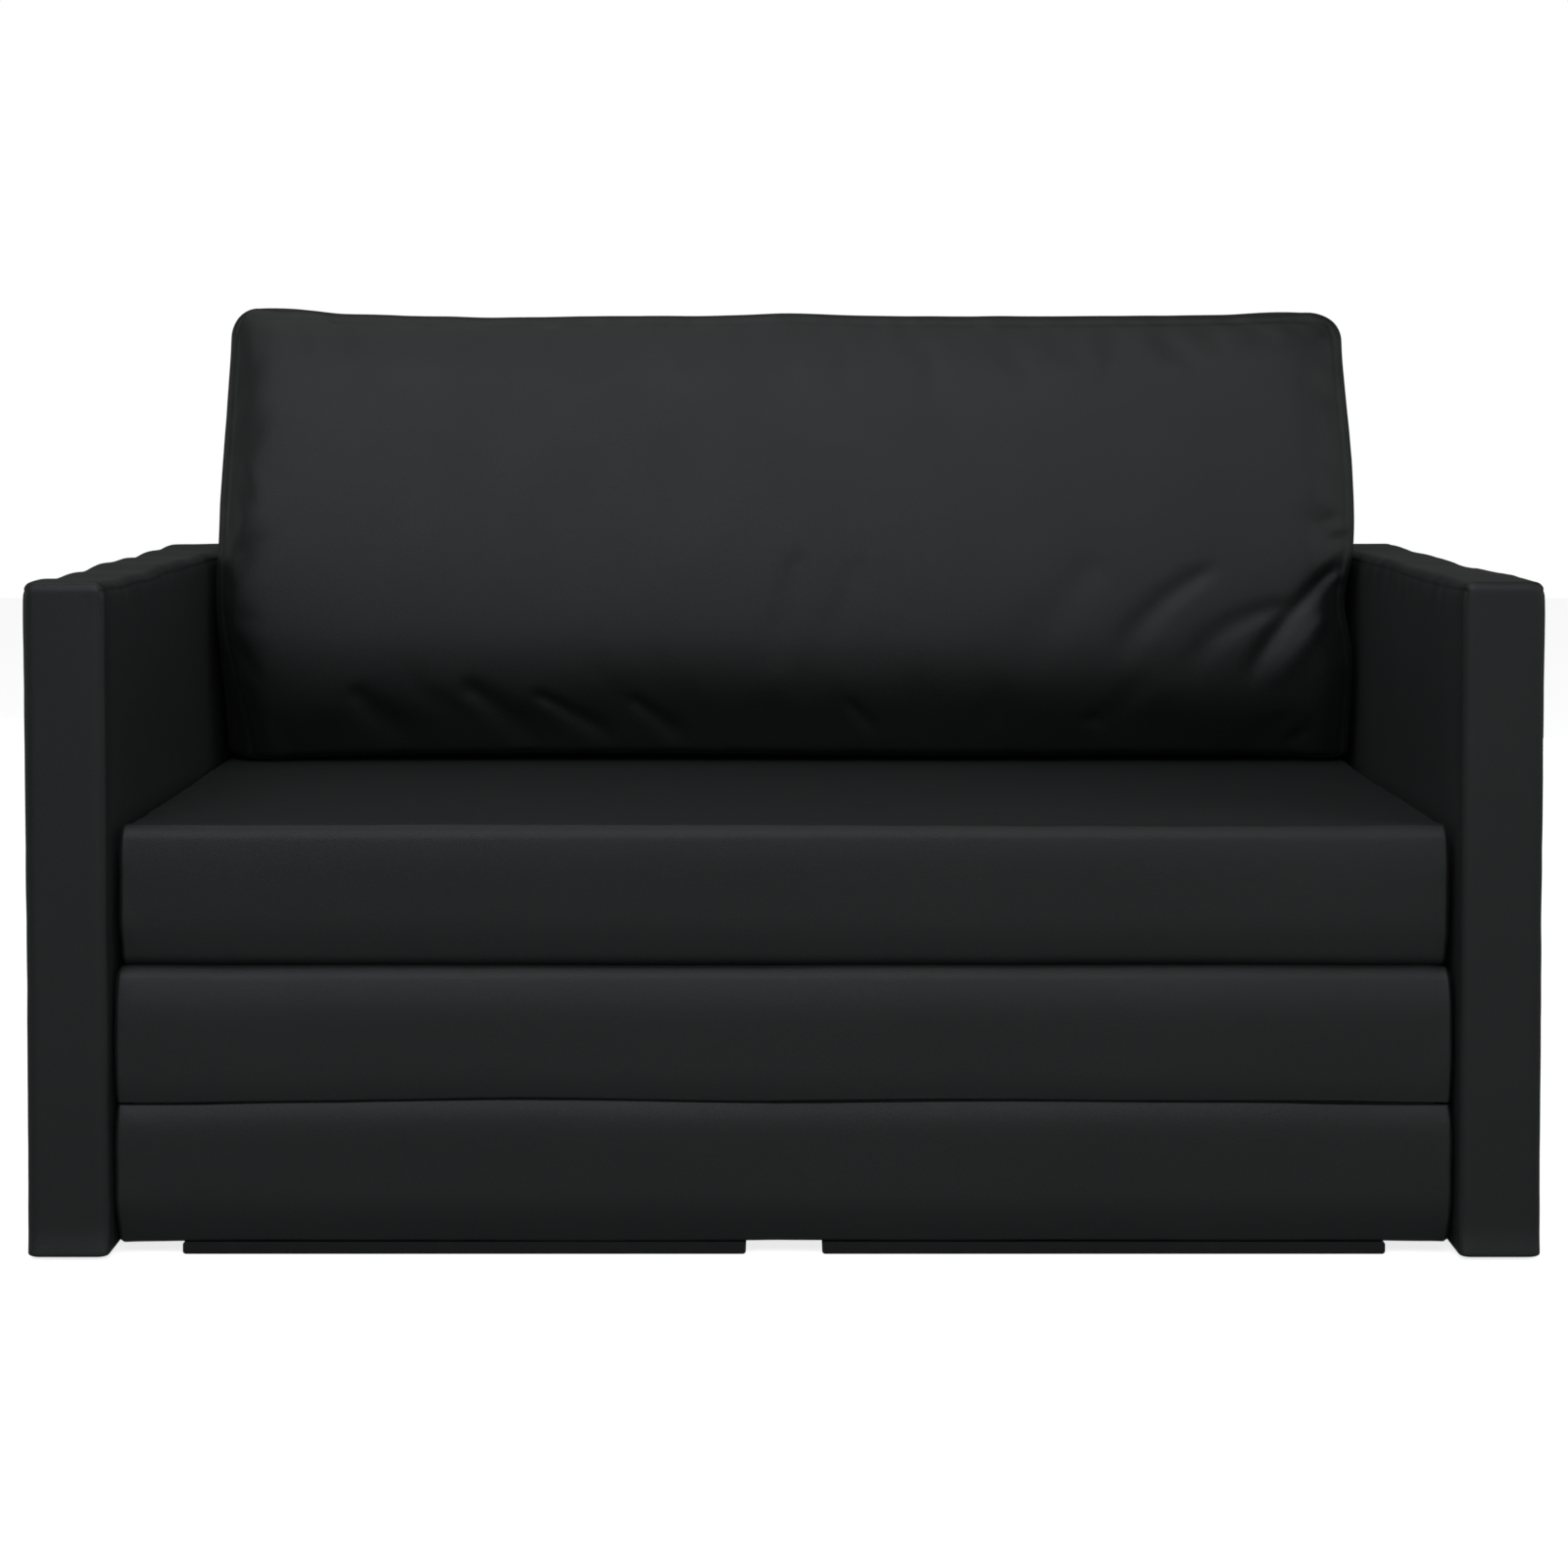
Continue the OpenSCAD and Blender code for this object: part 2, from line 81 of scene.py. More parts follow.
def hump(t):
    """1 at 0, falling smoothly to 0 at -1 and 1."""
    return smooth(1 - np.abs(t))


# ---- grids on rounded boxes ----

def grid_lines(lo, hi, radius_lo, radius_hi, step, rows):
    """Positions of grid lines from lo to hi: even in angle over the rounded ends, and step apart between."""
    turn = np.tan(np.linspace(0, math.pi / 4, rows + 1))
    near = lo + radius_lo * (1 - turn[::-1])
    far = hi - radius_hi * (1 - turn)
    count = max(2, round((far[0] - near[-1]) / step))
    between = np.linspace(near[-1], far[0], count + 1)
    return np.concatenate([near[:-1], between, far[1:]])


def box_surface(xs, ys, zs):
    """The points and quads of a box's surface, with grid lines at these positions."""
    numbers, points, quads = {}, [], []

    def corner(i, j, k):
        key = (i, j, k)
        if key not in numbers:
            numbers[key] = len(points)
            points.append((xs[i], ys[j], zs[k]))
        return numbers[key]

    def face(us, vs, place, outward):
        for u in range(len(us) - 1):
            for v in range(len(vs) - 1):
                ring = [corner(*place(a, b)) for a, b in ((u, v), (u + 1, v), (u + 1, v + 1), (u, v + 1))]
                quads.append(ring if outward else ring[::-1])

    last_x, last_y, last_z = len(xs) - 1, len(ys) - 1, len(zs) - 1
    face(xs, ys, lambda i, j: (i, j, last_z), True)
    face(xs, ys, lambda i, j: (i, j, 0), False)
    face(ys, zs, lambda j, k: (last_x, j, k), True)
    face(ys, zs, lambda j, k: (0, j, k), False)
    face(zs, xs, lambda k, i: (i, last_y, k), True)
    face(zs, xs, lambda k, i: (i, 0, k), False)
    return np.array(points), quads


class Block:
    """A rounded box as a mesh object. flat holds each point's place on the sharp box, before the rounding."""

    def __init__(self, name, lo, hi, radii_lo, radii_hi, step, rows=4):
        self.lo, self.hi = np.array(lo, float), np.array(hi, float)
        radii_lo, radii_hi = np.array(radii_lo, float), np.array(radii_hi, float)
        lines = [grid_lines(self.lo[a], self.hi[a], radii_lo[a], radii_hi[a], step, rows) for a in (X, Y, Z)]
        self.flat, quads = box_surface(*lines)
        inner = np.clip(self.flat, self.lo + radii_lo, self.hi - radii_hi)
        out = self.flat - inner
        radii = np.where(out < 0, radii_lo, radii_hi)
        unit = out / radii
        unit /= np.maximum(np.linalg.norm(unit, axis=1, keepdims=True), 1e-9)
        mesh = bpy.data.meshes.new(name)
        mesh.from_pydata((inner + unit * radii).tolist(), [], quads)
        mesh.shade_smooth()
        self.piece = bpy.data.objects.new(name, mesh)
        scene.collection.objects.link(self.piece)
        self.quads = quads

    def share(self):
        """Each point's place on the sharp box, from 0 to 1 along each axis."""
        return (self.flat - self.lo) / (self.hi - self.lo)

    def from_seam(self, axis):
        """How far each point lies from the edges of the two panels that face along axis."""
        low, high = self.flat - self.lo, self.hi - self.flat
        edge = np.minimum(low, high)
        others = [a for a in (X, Y, Z) if a != axis]
        on_panel = edge[:, axis] < 1e-7
        return np.where(on_panel, edge[:, others].min(axis=1), edge[:, axis])


def places(piece):
    co = np.empty(len(piece.data.vertices) * 3, np.float32)
    piece.data.vertices.foreach_get("co", co)
    return co.reshape(-1, 3).astype(float)


def put(piece, points):
    piece.data.vertices.foreach_set("co", points.astype(np.float32).ravel())
    piece.data.update()


def normals(piece):
    n = np.empty(len(piece.data.vertices) * 3, np.float32)
    piece.data.vertex_normals.foreach_get("vector", n)
    return n.reshape(-1, 3).astype(float)


def store(piece, name, values):
    layer = piece.data.attributes.get(name) or piece.data.attributes.new(name, "FLOAT", "POINT")
    layer.data.foreach_set("value", values.astype(np.float32))


def stored(piece, name):
    values = np.empty(len(piece.data.vertices), np.float32)
    piece.data.attributes[name].data.foreach_get("value", values)
    return values.astype(float)


def ripple(points, wavelength, seed, waves=14):
    """Smooth seeded waviness between about -1 and 1, from waves in every direction."""
    rng = np.random.default_rng(seed)
    total = np.zeros(len(points))
    for _ in range(waves):
        direction = rng.normal(size=3)
        direction *= 2 * math.pi / (wavelength * rng.uniform(0.7, 1.6) * np.linalg.norm(direction))
        total += np.sin(points @ direction + rng.uniform(0, 2 * math.pi))
    return total / math.sqrt(waves)


# ---- cloth ----

GATHER_REACH = 14 * MM


class Puff:
    """A cloth simulation that blows a piece up, its seams gathered a little, and moves no point past cap."""

    def __init__(self, block, seam_axis, pressure, cap, gather, bending=1.5, held=None):
        self.block, self.cap, self.held = block, cap, held
        piece = block.piece
        seam = block.from_seam(seam_axis)
        tight = piece.vertex_groups.new(name="gathered")
        for i, d in enumerate(seam):
            if d < GATHER_REACH:
                tight.add([i], float(1 - d / GATHER_REACH), "REPLACE")
        self.before = places(piece)
        modifier = piece.modifiers.new("puff", "CLOTH")
        modifier.collision_settings.use_collision = False
        cloth = modifier.settings
        cloth.quality = 5
        cloth.mass = 0.15
        cloth.tension_stiffness = cloth.compression_stiffness = 25
        cloth.shear_stiffness = 8
        cloth.bending_stiffness = bending
        cloth.use_pressure = True
        cloth.uniform_pressure_force = pressure
        cloth.vertex_group_shrink = tight.name
        cloth.shrink_min = 0.0
        cloth.shrink_max = gather
        cloth.effector_weights.gravity = 0
        modifier.point_cache.frame_start = 1
        modifier.point_cache.frame_end = SIM_FRAMES

    def shape(self, depsgraph):
        """The simulated shape, with each point's travel eased off towards the cap."""
        after = places(self.block.piece.evaluated_get(depsgraph))
        travel = after - self.before
        if self.held is not None:
            travel *= 1 - self.held[:, None]
        far = np.maximum(np.linalg.norm(travel, axis=1, keepdims=True), 1e-9)
        return self.before + travel / far * self.cap * np.tanh(far / self.cap)


def blow_up(puffs):
    """Runs all the simulations side by side, and applies them."""
    shapes = [puff.before for puff in puffs]
    scene.frame_start, scene.frame_end = 1, SIM_FRAMES
    for number in range(1, SIM_FRAMES + 1):
        scene.frame_set(number)
    depsgraph = bpy.context.evaluated_depsgraph_get()
    shapes = [puff.shape(depsgraph) for puff in puffs]
    scene.frame_set(1)
    for puff, shape in zip(puffs, shapes):
        puff.block.piece.modifiers.clear()
        puff.block.piece.vertex_groups.clear()
        put(puff.block.piece, shape)


def refine(piece):
    """One applied subdivision."""
    modifier = piece.modifiers.new("finer", "SUBSURF")
    modifier.levels = modifier.render_levels = 1
    finer = bpy.data.meshes.new_from_object(piece.evaluated_get(bpy.context.evaluated_depsgraph_get()))
    finer.name = piece.data.name
    piece.modifiers.clear()
    piece.data = finer
    finer.shade_smooth()


def press_seam(piece, depth, width):
    """Draws the surface in along its seams, as a stitched edge does."""
    pull = depth * np.exp(-(stored(piece, "seam") / width) ** 2) * stored(piece, "loose")
    put(piece, places(piece) - normals(piece) * pull[:, None])


def pucker(piece, height, pitch, reach, seed):
    """Small gathers that run away from the seams and fade out over reach."""
    points = places(piece)
    fade = np.exp(-(stored(piece, "seam") / reach) ** 2) * stored(piece, "loose")
    put(piece, points + normals(piece) * (height * fade * ripple(points, pitch, seed))[:, None])


def shrunk(block, inset):
    """The points of a shape that lies inset inside the case, for its foam or filling."""
    middle = (block.lo + block.hi) / 2
    return middle + (places(block.piece) - middle) * (1 - 2 * inset / (block.hi - block.lo))


# ---- shaping ----

RIM_REACH = 0.06
# The shares of a crease's length over which it rises from nothing, and fades out again.
FOLD_STARTS, FOLD_FADES = 0.15, 0.45


def lay_against(points, normal, offset, give=0.0):
    """Flattens what lies past the plane points @ normal = offset. It may still stand proud by give."""
    normal = np.array(normal, float)
    normal /= np.linalg.norm(normal)
    over = np.maximum(points @ normal - offset, 0.0)
    kept = give * np.tanh(over / give) if give else 0.0
    return points - np.outer(over - kept, normal)


def fill_out(points, block, axis, side, target, reach):
    """Moves one side of the shape out to target, easing off over reach, where gathers have drawn it in."""
    edge = np.quantile(side * points[:, axis], 0.995)
    away = side * (block.hi if side > 0 else block.lo)[axis] - side * block.flat[:, axis]
    points[:, axis] += side * (side * target - edge) * smooth(1 - away / reach)
    return points


def fold_height(points, route, width, height):
    """Height of a crease that starts narrow at route[0], bends past route[1] and fades out at route[2]."""
    start, bend, end = (np.array(p, float) for p in route)
    t = np.linspace(0, 1, 40)[:, None]
    line = (1 - t) ** 2 * start + 2 * t * (1 - t) * bend + t ** 2 * end
    away = np.linalg.norm(points[:, None, :] - line[None], axis=2)
    nearest = away.argmin(axis=1)
    along = t[nearest, 0]
    spread = width * (0.5 + 0.7 * along)
    fade = smooth(along / FOLD_STARTS) * smooth((1 - along) / FOLD_FADES)
    return height * fade * np.exp(-(away.min(axis=1) / spread) ** 2)


# ---- arms and back panel ----

SQUARE_EDGE = 3 * MM
FRONT_EDGE = 6 * MM
SEAM_ON_EDGE = 1 - math.tan(math.pi / 16)
HELD_FOOT, HELD_SIDE = 0.04, 0.03
TOP_RISE, TOP_DEPTH = 3 * MM, 0.02
PANEL_GIVE = (1.2 * MM, 1.2 * MM, 4.5 * MM)
PADDING_INSET = 2.5 * MM


def padded_panel(name, node, seam_axis, edge_radius, step):
    """An upholstered board. On its two large faces a seam runs a little below the rounded top."""
    lo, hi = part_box(node)
    around = (edge_radius, FRONT_EDGE) if seam_axis == X else (SQUARE_EDGE, edge_radius)
    block = Block(name, lo, hi, (*around, SQUARE_EDGE), (*around, edge_radius), step)
    below_top = block.hi[Z] - block.flat[:, Z]
    off_face = np.minimum(block.flat - block.lo, block.hi - block.flat)[:, seam_axis]
    store(block.piece, "seam", np.abs(below_top - edge_radius * SEAM_ON_EDGE) + off_face)
    return block


def held_edges(block, seam_axis):
    """1 where the cover is stapled square to the frame: along the foot and, on the back, beside the arms."""
    foot = smooth(1 - (block.flat[:, Z] - block.lo[Z]) / HELD_FOOT)
    if seam_axis == X:
        return foot
    beside = np.minimum(block.flat[:, X] - block.lo[X], block.hi[X] - block.flat[:, X])
    return np.maximum(foot, smooth(1 - beside / HELD_SIDE))


def finish_panel(block, seam_axis, seed):
    """Fills the panel out to its box, waves its top and adds its seams. Returns the points of its padding."""
    piece = block.piece
    points = places(piece)
    held = held_edges(block, seam_axis)
    points = fill_out(points, block, Z, 1, block.hi[Z] + TOP_RISE, RIM_REACH)
    if seam_axis == X:
        points = fill_out(points, block, Y, 1, block.hi[Y], RIM_REACH)
        points = fill_out(points, block, Y, -1, block.lo[Y], RIM_REACH)
    for axis, give in enumerate(PANEL_GIVE):
        outward = np.eye(3)[axis]
        points = lay_against(points, outward, block.hi[axis], give)
        points = lay_against(points, -outward, -block.lo[axis], 0.0 if axis == Z else give)
    top = smooth(1 - (block.hi[Z] - block.flat[:, Z]) / TOP_DEPTH)
    points[:, Z] += 1.1 * MM * top * ripple(points, 0.13, seed)
    put(piece, points)
    inside = shrunk(block, PADDING_INSET)
    store(piece, "loose", 1 - held)
    refine(piece)
    pucker(piece, 0.25 * MM, 0.035, 14 * MM, seed + 1)
    press_seam(piece, 0.9 * MM, 1.6 * MM)
    return inside


# ---- mattress slabs ----

SLAB_ENDS = (4 * MM, 6 * MM)
SLAB_GIVE = (1.2 * MM, 1.2 * MM, 0.3 * MM)
# How far round a corner the curving in reaches, and how much of it the fronts and rears take, and the ends.
CURVE_SHARES = [(Y, 0.05, 1.0), (X, 0.04, 0.2)]
CLOSE_REACH = 0.03
CORE_INSET = 4 * MM

# The front crease's rise, its two further rises as (place along the sofa, half length, height), and its drop
# towards the slab's ends as (where it starts, length, depth).
CREASE_RISE = 2.9 * MM
CREASE_RISES = [(-0.21, 0.20, 2.4), (0.20, 0.24, 1.0)]
CREASE_DROP = (0.38, 0.14, 2.0)
CREASE_REACH = 0.05


def crease_wave(x, away):
    """How far the front crease between the lower and the middle slab wanders up and down along the sofa."""
    rise = sum(height * hump((x - place) / half) for place, half, height in CREASE_RISES)
    start, length, depth = CREASE_DROP
    drop = depth * smooth((np.abs(x) - start) / length)
    return (CREASE_RISE + (rise - drop) * MM) * hump(away / CREASE_REACH)


def slab(name, node, low_radius, top_radius):
    lo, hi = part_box(node)
    block = Block(name, lo, hi, (*SLAB_ENDS, low_radius), (*SLAB_ENDS, top_radius), step=11 * MM)
    store(block.piece, "seam", block.from_seam(X))
    return block


def easing(away, depth, reach):
    """How far a face stands back at this distance from its edge: depth at the edge, and none past reach."""
    return depth * np.maximum(1 - away / reach, 0.0) ** 2


def curving_in(away, edge):
    """The same for an edge given as (depth, reach) pairs, whose depths add up."""
    return sum(easing(away, *part) for part in edge)


def finish_slab(block, low, high, seed, close):
    """Fronts, rears and ends that curve in towards the slab's lower and upper edges. low and high say by how
    much and from how far away, as pairs. close says how far those two edges spread to close their creases.
    Returns the points of the slab's foam."""
    piece = block.piece
    points = places(piece)
    for side, corner in ((-1, block.lo), (1, block.hi)):
        points = fill_out(points, block, X, side, corner[X], RIM_REACH)
        points = fill_out(points, block, Y, side, corner[Y], RIM_REACH)
    points += normals(piece) * (0.6 * MM * ripple(points, 0.30, seed))[:, None]
    for axis, give in enumerate(SLAB_GIVE):
        outward = np.eye(3)[axis]
        points = lay_against(points, outward, block.hi[axis], give)
        points = lay_against(points, -outward, -block.lo[axis], give)
    inward = curving_in(points[:, Z] - block.lo[Z], low) + curving_in(block.hi[Z] - points[:, Z], high)
    for axis, reach, amount in CURVE_SHARES:
        near, far = block.flat[:, axis] - block.lo[axis], block.hi[axis] - block.flat[:, axis]
        points[:, axis] += amount * inward * (smooth(1 - near / reach) - smooth(1 - far / reach))
    from_rim = np.minimum(block.flat[:, Y] - block.lo[Y], block.hi[Y] - block.flat[:, Y])
    for side, limit, spread in ((-1, block.lo[Z], close[0]), (1, block.hi[Z], close[1])):
        away = side * (limit - block.flat[:, Z])
        edge = (away < 1e-6) & (from_rim < CLOSE_REACH / 2)
        drawn_in = side * limit - np.median(side * points[edge, Z])
        near_rim = smooth(1 - from_rim / CLOSE_REACH) * smooth(1 - away / CLOSE_REACH)
        points[:, Z] += side * (drawn_in + spread) * near_rim
    put(piece, points)
    inside = shrunk(block, CORE_INSET)
    store(piece, "loose", np.ones(len(points)))
    refine(piece)
    pucker(piece, 0.4 * MM, 0.03, 14 * MM, seed + 1)
    press_seam(piece, 0.6 * MM, 1.8 * MM)
    return inside


def bend_crease(piece, crease):
    """Moves what lies near the front crease with the crease's wander."""
    points = places(piece)
    away = np.hypot(points[:, Y] - crease[Y], points[:, Z] - crease[Z])
    points[:, Z] += crease_wave(points[:, X], away)
    put(piece, points)


# ---- back cushion ----

BELLY_HEIGHT = 0.27
FOOT_SETBACK = 25 * MM
HEAD_SETBACK = 60 * MM
CORNER_PINCH = {-1: 0.065, 1: 0.008}
CUSHION_SWELL = 10 * MM
FILLING_INSET = 8 * MM
# How far inside its box the case starts, at its low and at its high corner, for the simulation to fill.
CASE_INSET_LO = Vector((4, CUSHION_SWELL / MM - 4, 0)) * MM
CASE_INSET_HI = Vector((4, 2, 4)) * MM
CASE_RADII_LO = np.array([27, 14, 9]) * MM
CASE_RADII_HI = np.array([32, 20, 28]) * MM

ARMS_END, TOP_NARROWING = 0.56, 0.018
# Unevenness of the cushion's top edge, each as (place across, width, height in millimetres).
TOP_BUMPS = [(-0.47, 0.05, 3.0), (-0.27, 0.07, -2.0), (0.01, 0.05, 2.5), (0.51, 0.025, -2.5)]

# Creases in the cushion's front, each as (start, bend, end) in metres across and above its foot, its
# width, and its height, which is below zero for a valley.
CUSHION_FOLDS = [
    # the fan that runs out of the right edge, where the arm holds the cushion
    (((0.534, 0.200), (0.444, 0.125), (0.430, 0.066)), 9, -3.6),
    (((0.510, 0.146), (0.480, 0.105), (0.442, 0.062)), 12, 2.2),
    (((0.412, 0.190), (0.323, 0.150), (0.311, 0.084)), 14, -2.3),
    (((0.484, 0.152), (0.395, 0.143), (0.368, 0.070)), 13, -2.0),
    (((0.532, 0.186), (0.507, 0.178), (0.497, 0.164)), 4, -1.8),
    (((0.532, 0.170), (0.516, 0.169), (0.508, 0.160)), 3.5, -1.4),
    (((0.533, 0.214), (0.520, 0.213), (0.500, 0.209)), 5, -1.2),
    (((0.533, 0.232), (0.515, 0.231), (0.490, 0.226)), 7, -0.9),
    # soft waves in the middle and the right half
    (((0.300, 0.200), (0.250, 0.150), (0.210, 0.070)), 24, -1.0),
    (((0.015, 0.205), (0.000, 0.150), (-0.010, 0.075)), 15, -1.2),
    (((0.075, 0.200), (0.050, 0.150), (0.040, 0.085)), 15, -0.7),
    # short creases that run into the foot
    (((0.058, 0.064), (0.070, 0.045), (0.092, 0.028)), 7, -2.4),
    (((0.278, 0.042), (0.290, 0.040), (0.305, 0.046)), 7, -2.0),
    (((0.470, 0.020), (0.485, 0.024), (0.498, 0.040)), 6, -2.4),
    (((-0.304, 0.080), (-0.258, 0.044), (-0.216, 0.010)), 16, -4.0),
    (((-0.238, 0.070), (-0.194, 0.046), (-0.145, 0.016)), 9, -3.6),
    (((-0.148, 0.066), (-0.117, 0.042), (-0.080, 0.014)), 10, -3.2),
    (((-0.408, 0.074), (-0.378, 0.046), (-0.338, 0.012)), 16, -3.0),
]


def cushion():
    """The back cushion: two panels and a border, thick at the belly and leaning against the back panel."""
    lo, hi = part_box("cushion_cover")
    lo += CASE_INSET_LO
    hi -= CASE_INSET_HI
    block = Block("cushion_case", lo, hi, CASE_RADII_LO, CASE_RADII_HI, step=9.2 * MM)
    piece = block.piece
    store(piece, "seam", block.from_seam(Y))
    points = places(piece)
    share = (points - block.lo) / (block.hi - block.lo)
    above = np.maximum(share[:, Z] - BELLY_HEIGHT, 0) / (1 - BELLY_HEIGHT)
    below = np.maximum(BELLY_HEIGHT - share[:, Z], 0) / BELLY_HEIGHT
    points[:, Y] += (HEAD_SETBACK * above ** 1.5 + FOOT_SETBACK * below ** 2) * (1 - share[:, Y])
    low = smooth(1 - share[:, Z] / 0.45)
    pinch = np.where(points[:, X] < 0, CORNER_PINCH[-1], CORNER_PINCH[1])
    points[:, X] *= 1 - pinch * low * (1 - share[:, Y]) ** 2.5
    put(piece, points)
    return block


def cushion_outline(points, block):
    """Fits the simulated shape to its outline: a little narrower at the top, its top edge softly uneven."""
    top = block.hi[Z] + 7 * MM
    half = block.hi[X] + 4 * MM
    points = fill_out(points, block, Z, 1, top, 0.20)
    points = fill_out(points, block, Z, -1, block.lo[Z], 0.04)
    for side in (-1, 1):
        points = fill_out(points, block, X, side, side * half, 0.20)
    z = points[:, Z]
    over_arms = smooth((z - ARMS_END) / 0.20)
    points[:, X] *= 1 - TOP_NARROWING * over_arms ** 1.5
    # Millimetres that each side comes in: the left one above its arm, the right one in a waist beside it.
    across = points[:, X] / half
    left_inward = 9.5 * smooth((z - 0.42) / 0.16) - 4 * smooth((z - 0.62) / 0.14)
    right_inward = 2.5 + 10 * np.exp(-((z - 0.50) / 0.035) ** 2) * (1 - block.share()[:, Y])
    points[:, X] -= across * np.abs(across) * MM * np.where(across < 0, left_inward, right_inward)
    up = smooth((block.share()[:, Z] - 0.6) / 0.4)
    x = points[:, X]
    uneven = sum(height * np.exp(-((x - place) / width) ** 2) for place, width, height in TOP_BUMPS)
    points[:, Z] += uneven * MM * up
    return points


def cushion_rests(points, give=0.0):
    """Lays the cushion against the seat, the back panel, the arms and its own zip."""
    lo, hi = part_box("cushion_cover")
    tape_lo, tape_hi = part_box("cushion_zip_tape")
    chamfer = np.array([0.0, 1.0, -1.0]) / math.sqrt(2)
    tape_middle = np.array((tape_lo + tape_hi) / 2)
    points = lay_against(points, (0, 0, -1), -(lo.z + 0.2 * MM))
    points = lay_against(points, (0, 1, 0), hi.y - 0.2 * MM)
    points = lay_against(points, chamfer, tape_middle @ chamfer - 1.3 * MM)
    for side in (-1, 1):
        points = lay_against(points, (side, 0, 0), hi.x - 0.5 * MM, give)
    return points


def finish_cushion(block):
    """Gives the case its outline, rests, creases and gathered seams. Returns the points of its filling."""
    piece = block.piece
    lo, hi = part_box("cushion_cover")
    points = cushion_outline(places(piece), block)
    put(piece, points)
    points += normals(piece) * (0.8 * MM * ripple(points, 0.34, 41))[:, None]
    put(piece, cushion_rests(points, give=1.2 * MM))
    inside = shrunk(block, FILLING_INSET)
    store(piece, "loose", np.ones(len(points)))
    refine(piece)
    points = places(piece)
    out = normals(piece)
    facing = smooth((-out[:, Y] - 0.15) / 0.5)
    spot = np.column_stack([points[:, X], points[:, Z] - lo.z])
    height = sum(fold_height(spot, route, width * MM, depth * MM) for route, width, depth in CUSHION_FOLDS)
    put(piece, points + out * (height * facing)[:, None])
    pucker(piece, 0.35 * MM, 0.06, 24 * MM, 42)
    pucker(piece, 0.3 * MM, 0.022, 10 * MM, 43)
    press_seam(piece, 0.9 * MM, 2.0 * MM)
    put(piece, cushion_rests(places(piece), give=2 * MM))
    return inside


# ---- fabric hinges ----

CREASE_TUCK = 8.5 * MM


def hinge_cloth(name, lower, upper, rear):
    """A strip of cover cloth that lies folded in the crease between two slabs and joins them. Returns it,
    the crease's place, and the radius of the strip's turn."""
    lower_lo, lower_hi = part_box(lower)
    upper_lo, upper_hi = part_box(upper)
    end_y = lower_lo.y if rear else lower_hi.y
    crease_y = upper_hi.y if rear else upper_lo.y
    crease_z = (lower_lo.z + upper_hi.z) / 2
    thick = lower_hi.z - lower_lo.z
    reach = upper_hi.z - crease_z - thick / 2
    turn = np.linspace(-math.pi / 2, math.pi / 2, 9)
    forward = 1 if rear else -1
    bead_y = crease_y - forward * (reach + CREASE_TUCK)
    bead = [(bead_y + forward * reach * math.cos(a), crease_z + reach * math.sin(a)) for a in turn]
    middle = np.array([(end_y, crease_z - reach), *bead, (end_y, crease_z + reach)])
    along = np.gradient(middle, axis=0)
    across = np.column_stack([-along[:, 1], along[:, 0]]) / np.linalg.norm(along, axis=1)[:, None]
    ring = np.vstack([middle + across * thick / 2, (middle - across * thick / 2)[::-1]])
    stations = np.linspace(lower_lo.x, lower_hi.x, 120)
    points = np.array([(x, y, z) for x in stations for y, z in ring])
    n = len(ring)
    quads = [[s * n + i, s * n + (i + 1) % n, (s + 1) * n + (i + 1) % n, (s + 1) * n + i]
             for s in range(len(stations) - 1) for i in range(n)]
    ends = [list(range(n))[::-1], [(len(stations) - 1) * n + i for i in range(n)]]
    mesh = bpy.data.meshes.new(name)
    mesh.from_pydata(points.tolist(), [], quads + ends)
    mesh.shade_smooth()
    piece = bpy.data.objects.new(name, mesh)
    scene.collection.objects.link(piece)
    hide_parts(lower, upper)
    return piece, Vector((0, crease_y, crease_z)), reach


# ---- material nodes ----

